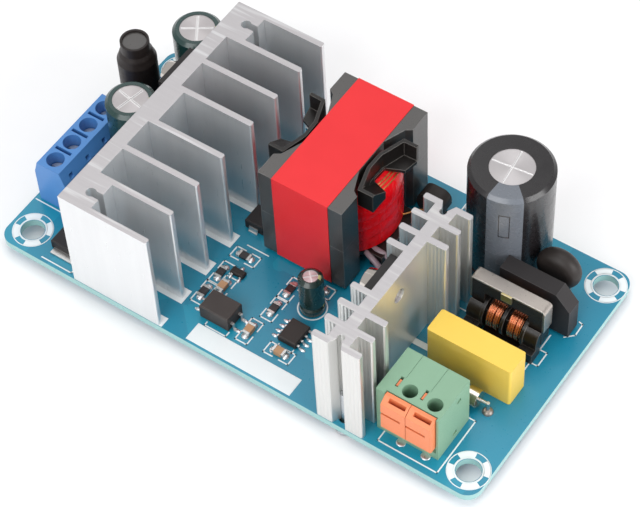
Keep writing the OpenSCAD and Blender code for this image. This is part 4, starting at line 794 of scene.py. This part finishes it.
def settle(name: str) -> bpy.types.Object:
    """Names the active object, puts its place into its mesh and shades it.

    Args:
        name: the piece's name.

    Returns:
        The object.
    """
    piece = bpy.context.view_layer.objects.active
    piece.name = name
    piece.data.name = name
    deselect()
    piece.select_set(True)
    bpy.ops.object.transform_apply(location=True, rotation=True, scale=True)
    bpy.ops.object.shade_smooth_by_angle(angle=math.radians(SMOOTH_DEG))
    return piece


def hand_over(piece: bpy.types.Object, finish: Palette, replaced: Sequence[str] = ()) -> bpy.types.Object:
    """Dresses a piece, lets it ride on the board and reports it.

    Args:
        piece: the finished object.
        finish: its finish.
        replaced: nodes that the piece stands for.

    Returns:
        The piece.
    """
    piece.data.materials.clear()
    piece.data.materials.append(finish.value.build())
    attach(piece, BODY)
    if replaced:
        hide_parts(*replaced)
    LOG.info("%s: %d faces in %s", piece.name, len(piece.data.polygons), finish.value.name)
    return piece


class Slab:
    """One mesh gathered from boxes and balls, for printing, solder and the black strip under the choke's windings,
    which stands partly for painted shade.
    """

    def __init__(self) -> None:
        """Starts with nothing in it."""
        self.started = False
        deselect()

    def take_up(self) -> None:
        """Opens the first primitive for editing, so that the next ones are added to its mesh."""
        if not self.started:
            bpy.ops.object.transform_apply(location=True, rotation=True, scale=True)
            bpy.ops.object.mode_set(mode="EDIT")
            self.started = True

    def box(self, low: Point, high: Point, turn: float = 0.0) -> None:
        """Adds a box in millimetres.

        Args:
            low: lowest corner.
            high: highest corner.
            turn: turn about its own upright axis, in radians.
        """
        centre = [(a + b) / 2 * MM for a, b in zip(low, high)]
        size = [(b - a) * MM for a, b in zip(low, high)]
        bpy.ops.mesh.primitive_cube_add(size=1, location=centre, rotation=(0, 0, turn), scale=size)
        self.take_up()

    def line(self, start: Pair, end: Pair, width: float, z0: float, z1: float) -> None:
        """Adds a straight strip between two points.

        Args:
            start: first point.
            end: second point.
            width: width of the strip.
            z0: its underside.
            z1: its top.
        """
        dx, dy = end[0] - start[0], end[1] - start[1]
        half = math.hypot(dx, dy) / 2 + width / 2
        x, y = (start[0] + end[0]) / 2, (start[1] + end[1]) / 2
        self.box((x - half, y - width / 2, z0), (x + half, y + width / 2, z1), math.atan2(dy, dx))

    def ball(self, at: Point, radii: Point, segments: int = 14) -> None:
        """Adds a squashed ball, such as a drop of solder.

        Args:
            at: its centre.
            radii: its half sizes.
            segments: facets round it.
        """
        bpy.ops.mesh.primitive_uv_sphere_add(
            segments=segments, ring_count=segments // 2, radius=1,
            location=[c * MM for c in at], scale=[r * MM for r in radii],
        )
        self.take_up()

    def finish(self, name: str) -> bpy.types.Object:
        """Closes the mesh and returns it as a piece."""
        bpy.ops.object.mode_set(mode="OBJECT")
        return settle(name)


def turned(name: str, at: Point, profile: Sequence[Pair], facets: int = 64) -> bpy.types.Object:
    """Turns a closed ring of radius and height pairs about an upright axis.

    Args:
        name: the piece's name.
        at: foot of the axis, in millimetres.
        profile: radius and height pairs round the section, in millimetres.
        facets: facets round the axis.

    Returns:
        The turned object.
    """
    deselect()
    first = profile[0]
    centre = Vector(at) * MM
    bpy.ops.mesh.primitive_circle_add(
        vertices=facets, radius=first[0] * MM, location=centre + Vector((0, 0, first[1] * MM))
    )
    start_edit()
    radius, height = first
    for r, z in [*profile[1:], first]:
        bpy.ops.mesh.extrude_region_move(TRANSFORM_OT_translate={"value": (0, 0, (z - height) * MM)})
        k = r / radius
        bpy.ops.transform.resize(value=(k, k, 1), center_override=centre + Vector((0, 0, z * MM)))
        radius, height = r, z
    end_edit()
    return settle(name)


def wire(name: str, path: Sequence[Point], radius_mm: float, facets: int = 4) -> bpy.types.Object:
    """Makes a round wire along a smooth path.

    Args:
        name: the piece's name.
        path: points in millimetres.
        radius_mm: radius of the wire.
        facets: roundness of the wire.

    Returns:
        The wire as a mesh.
    """
    curve = bpy.data.curves.new(name, "CURVE")
    curve.dimensions = "3D"
    curve.bevel_depth = radius_mm * MM
    curve.bevel_resolution = facets
    curve.use_fill_caps = True
    curve.resolution_u = 8
    spline = curve.splines.new("BEZIER")
    spline.bezier_points.add(len(path) - 1)
    for knot, place in zip(spline.bezier_points, path):
        knot.co = Vector(place) * MM
        knot.handle_left_type = knot.handle_right_type = "AUTO"
    piece = bpy.data.objects.new(name, curve)
    bpy.context.scene.collection.objects.link(piece)
    deselect()
    piece.select_set(True)
    bpy.context.view_layer.objects.active = piece
    bpy.ops.object.convert(target="MESH")
    return settle(name)


def joined(name: str, parts: Sequence[bpy.types.Object]) -> bpy.types.Object:
    """Joins several objects into one piece.

    Args:
        name: the piece's name.
        parts: the objects; the first one stays.

    Returns:
        The joined piece.
    """
    deselect()
    for part in parts:
        part.select_set(True)
    bpy.context.view_layer.objects.active = parts[0]
    bpy.ops.object.join()
    return settle(name)


@dataclass
class Printing:
    """White ink on the board: outlines, the blank panel and the rings of the mounting holes."""

    top: float = 1.6
    thickness: float = 0.03
    step_deg: float = 5.0
    line_w: float = 0.28
    hole_x: float = 49.2
    hole_y: float = 23.9
    hole_r: float = 2.35
    ring_r: float = 4.05
    ring_w: float = 0.2
    rim: Pair = (0.1, 0.45)
    window: Pair = (0.4, 0.15)
    window_starts: tuple[float, ...] = (-27.0, 63.0, 153.0, 243.0)
    window_deg: float = 54.0
    panel: Area = (-9.6, -28.3, 13.7, -24.2)
    frame: Area = (32.3, -27.4, 44.8, -14.6)
    combs: tuple[float, ...] = (-28.15, -20.75, -12.95, -5.2, 3.9, 11.65, 19.45, 26.85)
    comb_half: float = 1.7
    comb_x: Pair = (-31.9, -14.88)
    comb_y: Pair = (-28.7, 28.1)
    comb_w: float = 0.01
    lines: tuple[tuple[Pair, ...], ...] = (
        ((-43.7, -28.0), (-36.65, -28.0), (-36.65, -26.2)),
        ((48.65, 9.65), (50.16, 11.13), (50.1, 13.9), (49.3, 14.1)),
        ((46.35, 5.0), (46.35, 8.65)),
        ((45.4, 4.9), (47.9, 4.9), (47.9, 1.55), (45.7, 1.55)),
        ((46.3, 1.55), (46.3, -0.4)),
        ((31.2, 4.9), (28.7, 4.9), (28.7, 1.55), (30.9, 1.55)),
        ((7.4, 25.8), (13.7, 25.8), (14.35, 25.2), (14.35, 24.0)),
        ((15.2, 22.55), (16.5, 22.55)), ((17.15, 20.4), (17.15, 26.9), (18.6, 26.9)),
        ((-8.4, -23.2), (-8.4, -23.95), (-3.6, -23.95), (-3.6, -22.9)),
        ((5.6, -19.9), (5.6, -20.5), (8.7, -20.5), (8.7, -19.7)),
        ((-12.4, -4.57), (-7.6, -4.57)),
        ((-53.4, -17.6), (-45.0, -17.6), (-45.0, -15.5)),
    )
    chips: tuple[Point, ...] = CHIPS
    bracket_size: Point = (2.75, 1.3, 2.0)
    bar: Area = (25.2, -6.5, 30.5, -5.2)
    supply_ring: Point = (6.2, -9.9, 2.9)

    def sector(self, slab_name: str, x: float, y: float, inner: float, outer: float, start: float,
               sweep: float) -> bpy.types.Object:
        """Spins a small rectangle into a flat sector round a hole.

        Args:
            slab_name: the object's name.
            x: hole centre.
            y: hole centre.
            inner: inner radius.
            outer: outer radius.
            start: first angle, in degrees.
            sweep: swept angle, in degrees; 360 closes the ring.

        Returns:
            The sector.
        """
        deselect()
        a = math.radians(start)
        middle = (inner + outer) / 2
        z = self.top + self.thickness / 2
        bpy.ops.mesh.primitive_plane_add(
            size=1, location=Vector((x + middle * math.cos(a), y + middle * math.sin(a), z)) * MM
        )
        start_edit()
        bpy.ops.transform.resize(value=((outer - inner) * MM, self.thickness * MM, 1))
        piece = bpy.context.view_layer.objects.active
        stand = Matrix.Rotation(a, 4, "Z") @ Matrix.Rotation(math.pi / 2, 4, "X")
        mesh = bmesh.from_edit_mesh(piece.data)
        for vert in mesh.verts:
            vert.co = stand @ vert.co
        bmesh.update_edit_mesh(piece.data)
        steps = max(3, round(sweep / self.step_deg))
        bpy.ops.mesh.spin(
            steps=steps, angle=math.radians(sweep), center=Vector((x, y, z)) * MM, axis=(0, 0, 1), use_auto_merge=True
        )
        end_edit()
        return settle(slab_name)

    def rings(self) -> bpy.types.Object:
        """Builds the four rings with their windows.

        Returns:
            The rings of all the holes as one piece.
        """
        parts = []
        for x in (-self.hole_x, self.hole_x):
            for y in (-self.hole_y, self.hole_y):
                bands = [(self.ring_r - self.ring_w, self.ring_r, 0.0, 360.0),
                         (self.hole_r + self.rim[0], self.hole_r + self.rim[1], 0.0, 360.0)]
                for start in self.window_starts:
                    bands.append((self.hole_r + self.window[0], self.ring_r - self.window[1], start, self.window_deg))
                parts += [self.sector("ring", x, y, *band) for band in bands]
        return joined("mounting_hole_rings", parts)

    def outlines(self) -> bpy.types.Object:
        """Builds the panel, the bar, the combs, the frame, the lines and the brackets round the chips.

        Returns:
            The outlines as one piece.
        """
        slab = Slab()
        z0, z1, w = self.top, self.top + self.thickness, self.line_w
        x0, y0, x1, y1 = self.panel
        slab.box((x0, y0, z0), (x1, y1, z1))
        slab.box((self.bar[0], self.bar[1], z0), (self.bar[2], self.bar[3], z1))
        for y in self.combs:
            slab.box((self.comb_x[0], max(y - self.comb_half, self.comb_y[0]), z0),
                     (self.comb_x[1], min(y + self.comb_half, self.comb_y[1]), z0 + self.comb_w))
        a, b, c, d = self.frame
        for start, end in (((a, b), (c, b)), ((c, b), (c, d)), ((c, d), (a, d)), ((a, d), (a, b))):
            slab.line(start, end, w, z0, z1)
        for path in self.lines:
            for start, end in zip(path, path[1:]):
                slab.line(start, end, w, z0, z1)
        for x, y, turn in self.chips:
            self.bracket(slab, x, y, turn)
        return slab.finish("printed_outlines")

    def bracket(self, slab: Slab, x: float, y: float, turn: float) -> None:
        """Draws the two end brackets round one chip.

        Args:
            slab: the mesh to add to.
            x: chip centre.
            y: chip centre.
            turn: 90 for a chip that lies along Y.
        """
        long, wide, arm = self.bracket_size
        z0, z1 = self.top, self.top + self.thickness
        for s in (-1, 1):
            path = [(s * (long - arm), -wide), (s * long, -wide), (s * long, wide), (s * (long - arm), wide)]
            if turn:
                path = [(v, u) for u, v in path]
            for start, end in zip(path, path[1:]):
                slab.line((x + start[0], y + start[1]), (x + end[0], y + end[1]), self.line_w, z0, z1)

    def build(self) -> None:
        """Makes and hands over all the printing."""
        hand_over(self.outlines(), Palette.INK)
        hand_over(self.rings(), Palette.INK)
        x, y, r = self.supply_ring
        hand_over(self.sector("supply_capacitor_ring", x, y, r - self.line_w, r, 0, 360), Palette.INK)


@dataclass
class TopSolder:
    """Solder fillets of the surface-mounted parts and the drops round the leads on top."""

    top: float = 1.6
    chips: tuple[Point, ...] = CHIPS
    end_reach: float = 1.42
    end_radii: Point = (0.72, 0.82, 0.52)
    drops: tuple[Area, ...] = (
        (13.6, 3.3, 1.35, 0.55), (14.8, 6.1, 1.35, 0.55),
        (36.05, -25.5, 0.95, 0.2), (41.25, -25.5, 0.95, 0.2), (18.0, 25.3, 0.7, 0.45),
    )
    drop_facets: int = 20
    # Centre, reach, pitch and count of the leads on each side of the optocoupler and the controller.
    gull_rows: tuple[tuple[float, float, float, float, int], ...] = (
        (-7.0, -20.5, 4.55, 2.54, 2), (6.95, -16.9, 3.05, 1.27, 4),
    )
    gull_radii: Point = (0.75, 0.36, 0.26)
    gull_facets: int = 10
    small_legs: tuple[Pair, ...] = ((-10.85, -12.35), (-8.95, -12.35), (-9.9, -9.85))
    small_radii: Point = (0.45, 0.6, 0.4)
    small_facets: int = 12
    fuse_pads: tuple[Pair, ...] = ((45.55, -11.7), (31.95, -11.7))
    fuse_radii: Point = (1.05, 1.05, 0.85)

    def build(self) -> None:
        """Makes and hands over the solder."""
        slab = Slab()
        along, across, high = self.end_radii
        for x, y, turn in self.chips:
            for reach in (-self.end_reach, self.end_reach):
                if turn:
                    slab.ball((x, y + reach, self.top), (across, along, high))
                else:
                    slab.ball((x + reach, y, self.top), self.end_radii)
        for x, y, r, h in self.drops:
            slab.ball((x, y, self.top), (r, r, h), self.drop_facets)
        for x, y, reach, pitch, count in self.gull_rows:
            for side in (-reach, reach):
                for i in range(count):
                    at = (x + side, y + (i - (count - 1) / 2) * pitch, self.top)
                    slab.ball(at, self.gull_radii, self.gull_facets)
        for x, y in self.small_legs:
            slab.ball((x, y, self.top), self.small_radii, self.small_facets)
        hand_over(slab.finish("top_solder"), Palette.SOLDER)
        slab = Slab()
        for x, y in self.fuse_pads:
            slab.ball((x, y, self.top), self.fuse_radii, self.drop_facets)
        hand_over(slab.finish("fuse_solder"), Palette.DULL_SOLDER)


@dataclass
class ChokeCopper:
    """The two windings of the mains choke, turn by turn."""

    wire_r: float = 0.24
    turns: int = 6
    outer_r: float = 3.0
    layers: int = 2
    layer_mm: float = 0.42
    coil_mm: float = 3.0
    gap_mm: float = 1.3
    lean: Pair = (0.02, 0.03)
    turn_facets: int = 40
    wire_facets: int = 8
    # Overhang and height of the black strip under the coils: partly the bobbin's foot, partly a dark sheet where the
    # shade falls.
    shade_foot_over: Pair = (0.3, 0.2)
    shade_foot_z: Pair = (1.62, 2.3)

    def build(self) -> None:
        """Winds both coils over a black strip, partly the bobbin's foot and partly painted shade under the windings,
        and hands them over in place of the plain solids.
        """
        low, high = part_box("choke_windings")
        middle, centre_y, centre_z = ((a + b) / 2 for a, b in zip(low, high))
        parts = []
        for side, start in ((-1, -self.gap_mm / 2 - self.coil_mm), (1, self.gap_mm / 2)):
            for layer in range(self.layers):
                for i in range(self.turns - layer):
                    x = start + (i + 0.5 + 0.5 * layer) * self.coil_mm / self.turns
                    deselect()
                    bpy.ops.mesh.primitive_torus_add(
                        location=(middle + x * MM, centre_y, centre_z),
                        rotation=(self.lean[0] * (i % 3 - 1), math.pi / 2, self.lean[1] * side),
                        major_radius=(self.outer_r - self.layer_mm * (1 - layer)) * MM, minor_radius=self.wire_r * MM,
                        major_segments=self.turn_facets, minor_segments=self.wire_facets,
                    )
                    parts.append(bpy.context.view_layer.objects.active)
        # Black strip under the coils: partly the bobbin's foot, partly painted shade under the windings.
        slab = Slab()
        over_x, over_y = self.shade_foot_over
        slab.box((low[0] / MM - over_x, low[1] / MM - over_y, self.shade_foot_z[0]),
                 (high[0] / MM + over_x, high[1] / MM, self.shade_foot_z[1]))
        hand_over(slab.finish("choke_foot_shade_strip"), Palette.PHENOLIC)
        hand_over(joined("choke_copper", parts), Palette.COPPER, ["choke_windings"])


@dataclass
class TransformerDress:
    """The winding's tape, the wires on the bobbin and the leads to the board."""

    x: float = 0.0
    y: float = 10.7
    winding_r: float = 11.0
    z0: float = 5.36
    z1: float = 19.94
    post_r: float = 6.66
    laps: int = 4
    lap_inset: Area = (0.4, 0.04, 0.02, 0.24)
    lap_lip: Pair = (0.3, 0.05)
    widest: float = 0.6
    wall_inset: float = 0.6
    crown_mm: float = 3.4
    # The crown of the tape, out over the top and back inside: inset from the winding's radius, and rise.
    crown: tuple[Pair, ...] = (
        (0.1, 0.25), (0.25, 1.0), (0.62, 1.9), (1.25, 2.7), (2.0, 3.2), (2.8, 3.4), (4.34, 3.4), (4.34, 3.2),
        (2.8, 3.2), (2.15, 2.95), (1.4, 2.5), (0.85, 1.7), (0.6, 0.9), (0.6, 0.0),
    )
    # The shoulder of the copper under it: inset from the copper's radius, and depth under its top.
    shoulder: tuple[Pair, ...] = ((0.0, 3.4), (0.5, 2.0), (1.2, 0.9), (2.2, 0.0))
    copper_inset: float = 0.7
    copper_drop: float = 0.5
    bore_gap: float = 0.02
    facets: int = 96
    lean_mm: float = 1.1
    lean_rad: float = 0.9
    lean_r: float = 8.0
    strand_count: int = 3
    strand_path: tuple[Point, ...] = ((-0.5, -3.4, -0.25), (0.0, -1.6, 0.02), (0.25, 0.6, 0.06), (0.2, 3.2, 0.0))
    strand_x: float = 8.6
    strand_step: float = 0.55
    strand_drop: float = 0.18
    strand_r: float = 0.13
    tail_r: float = 0.18
    sleeve_r: float = 0.6
    tail: tuple[Point, ...] = (
        (9.6, 14.2, 5.9), (10.6, 15.2, 6.0), (12.0, 17.0, 6.1), (13.2, 18.4, 5.0), (13.6, 18.8, 3.0),
        (13.6, 18.8, 1.7),
    )
    sleeved: tuple[tuple[Point, ...], ...] = (
        ((7.6, 4.9, 4.6), (9.4, 4.1, 4.75), (11.6, 3.6, 3.9), (13.6, 3.3, 1.7)),
        ((8.4, 6.0, 4.6), (10.6, 5.6, 5.1), (13.0, 5.8, 4.2), (14.8, 6.1, 1.7)),
    )

    def tape(self) -> None:
        """Wraps the winding in overlapping turns of tape."""
        r = self.winding_r
        base = self.z1 - self.crown_mm
        profile = [(r - self.wall_inset, self.z0)]
        step = (base - self.z0) / self.laps
        for i in range(self.laps):
            z = self.z0 + i * step
            heights = (z, z + self.lap_lip[0], z + self.widest * step, z + step - self.lap_lip[1])
            profile += [(r - inset, height) for inset, height in zip(self.lap_inset, heights)]
        profile += [(r - inset, base + rise) for inset, rise in self.crown]
        piece = turned("winding_tape_wrap", (self.x, self.y, 0.0), profile, self.facets)
        self.lean(piece)
        hand_over(piece, Palette.WRAP, ["transformer_winding_tape"])

    def lean(self, piece: bpy.types.Object) -> None:
        """Tilts the laps of the tape between the two ends, which stay level.

        Args:
            piece: the wrap.
        """
        centre = Vector((self.x, self.y, 0.0)) * MM
        for vert in piece.data.vertices:
            arm = vert.co - centre
            share = (vert.co.z / MM - self.z0) / (self.z1 - self.z0)
            if arm.xy.length > self.lean_r * MM:
                rise = self.lean_mm * MM * math.sin(math.pi * min(max(share, 0.0), 1.0))
                vert.co.z += rise * math.sin(math.atan2(arm.y, arm.x) + self.lean_rad)

    def copper(self) -> None:
        """Winds the copper body under the tape, with its upper turns drawn in."""
        r, top = self.winding_r - self.copper_inset, self.z1 - self.copper_drop
        bore = self.post_r + self.bore_gap
        edge = [(r - inset, top - depth) for inset, depth in self.shoulder]
        profile = [(bore, self.z0), (r, self.z0), *edge, (bore, top)]
        piece = turned("wound_copper", (self.x, self.y, 0.0), profile)
        hand_over(piece, Palette.COPPER, ["transformer_winding"])

    def strands(self) -> None:
        """Lays the fine strands that cross the top of the winding and go to the pins."""
        parts = []
        for i in range(self.strand_count):
            x = self.x + self.strand_x + self.strand_step * i
            z = self.z1 - self.strand_drop * i * i
            path = [(x + across, self.y + along, z + up) for across, along, up in self.strand_path]
            parts.append(wire(f"strand_{i}", path, self.strand_r, facets=2))
        hand_over(joined("winding_strands", parts), Palette.GOLD_WIRE)
        hand_over(wire("copper_tail", self.tail, self.tail_r), Palette.GOLD_WIRE)

    def leads(self) -> None:
        """Bends the sleeved leads down to their pads."""
        parts = [wire("lead", path, self.sleeve_r, facets=6) for path in self.sleeved]
        hand_over(joined("sleeved_leads", parts), Palette.TUBE, ["transformer_lead_wires"])

    def build(self) -> None:
        """Makes and hands over the transformer's loose pieces."""
        self.tape()
        self.copper()
        self.strands()
        self.leads()


@dataclass
class Studio:
    """A pale floor, an even sky, four soft lamps and the camera."""

    floor_size: float = 3.0
    camera_at: Point = (157.999, -206.129, 349.961)
    right: Point = (0.82470536, 0.56431587, -0.03753225)
    up: Point = (-0.43401425, 0.67403539, 0.59775239)
    back: Point = (0.36261922, -0.47668007, 0.80080173)
    focal_share: float = 3.597778125
    sensor_mm: float = 36.0
    clip: Pair = (0.01, 20.0)
    floor_gap: float = 0.0001
    sky_strength: float = 0.6
    aim: Point = (0.0, 0.0, 0.01)
    lamps: tuple[tuple[str, Point, float, float], ...] = (
        ("overhead", (0.0, 0.1, 0.9), 0.6, 2.2), ("back_left", (-0.55, 0.45, 0.9), 0.6, 0.7),
        ("right", (0.75, 0.0, 0.3), 0.5, 4.0), ("front", (0.0, -0.7, 0.55), 0.6, 3.8),
    )

    def floor(self, z: float) -> None:
        """Lays the floor under the part.

        Args:
            z: height of the floor, in metres.
        """
        deselect()
        bpy.ops.mesh.primitive_plane_add(size=self.floor_size, location=(0, 0, z))
        start_edit()
        bpy.ops.mesh.subdivide(number_cuts=4)
        end_edit(outward=False)
        piece = settle("studio_floor_sheet")
        piece.data.materials.append(Palette.FLOOR.value.build())
        piece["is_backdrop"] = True
        LOG.info("%s: %s", piece.name, Palette.FLOOR.value.name)

    def lamp(self, name: str, at: Point, size: float, watts: float) -> None:
        """Hangs one soft lamp.

        Args:
            name: the lamp's name.
            at: its place, in metres.
            size: width of its square face, in metres.
            watts: its power.
        """
        data = bpy.data.lights.new(name, "AREA")
        data.shape = "SQUARE"
        data.size = size
        data.energy = watts
        lamp = bpy.data.objects.new(name, data)
        lamp.location = at
        lamp.rotation_mode = "QUATERNION"
        lamp.rotation_quaternion = (Vector(self.aim) - Vector(at)).to_track_quat("-Z", "Y")
        bpy.context.scene.collection.objects.link(lamp)

    def sky(self) -> None:
        """Fills the world with even white light."""
        world = bpy.data.worlds.new("studio_world")
        world.use_nodes = True
        background = world.node_tree.nodes["Background"]
        background.inputs["Color"].default_value = (1, 1, 1, 1)
        background.inputs["Strength"].default_value = self.sky_strength
        bpy.context.scene.world = world

    def camera(self) -> None:
        """Sets up the camera."""
        data = bpy.data.cameras.new("camera")
        data.sensor_width = self.sensor_mm
        data.lens = self.sensor_mm * self.focal_share
        data.clip_start, data.clip_end = self.clip
        camera = bpy.data.objects.new("camera", data)
        turn = Matrix((self.right, self.up, self.back)).transposed().to_4x4()
        camera.matrix_world = Matrix.Translation(Vector(self.camera_at) * MM) @ turn
        bpy.context.scene.collection.objects.link(camera)
        bpy.context.scene.camera = camera

    def build(self, shade_foot_z: float) -> None:
        """Builds the whole studio.

        Args:
            shade_foot_z: height of the lowest point of the part, in metres.
        """
        self.camera()
        self.floor(shade_foot_z - self.floor_gap)
        self.sky()
        for lamp in self.lamps:
            self.lamp(*lamp)
        bpy.context.scene.view_settings.view_transform = "Standard"


def dress_nodes(nodes: dict[str, bpy.types.Object]) -> None:
    """Gives every solid of the frame its finish.

    Args:
        nodes: node name to object.
    """
    for name, finish in NODE_FINISH.items():
        piece = nodes[name]
        piece.data.materials.clear()
        piece.data.materials.append(finish.value.build())
        LOG.info("%s: %s", name, finish.value.name)


def main() -> None:
    """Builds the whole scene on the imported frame."""
    logging.basicConfig(level=logging.INFO, format="%(name)s: %(message)s")
    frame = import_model()
    cad_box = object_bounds()
    Studio().build(cad_box[0][2])
    dress_nodes(frame["nodes"])
    Printing().build()
    TopSolder().build()
    ChokeCopper().build()
    TransformerDress().build()


if __name__ == "__main__":
    main()
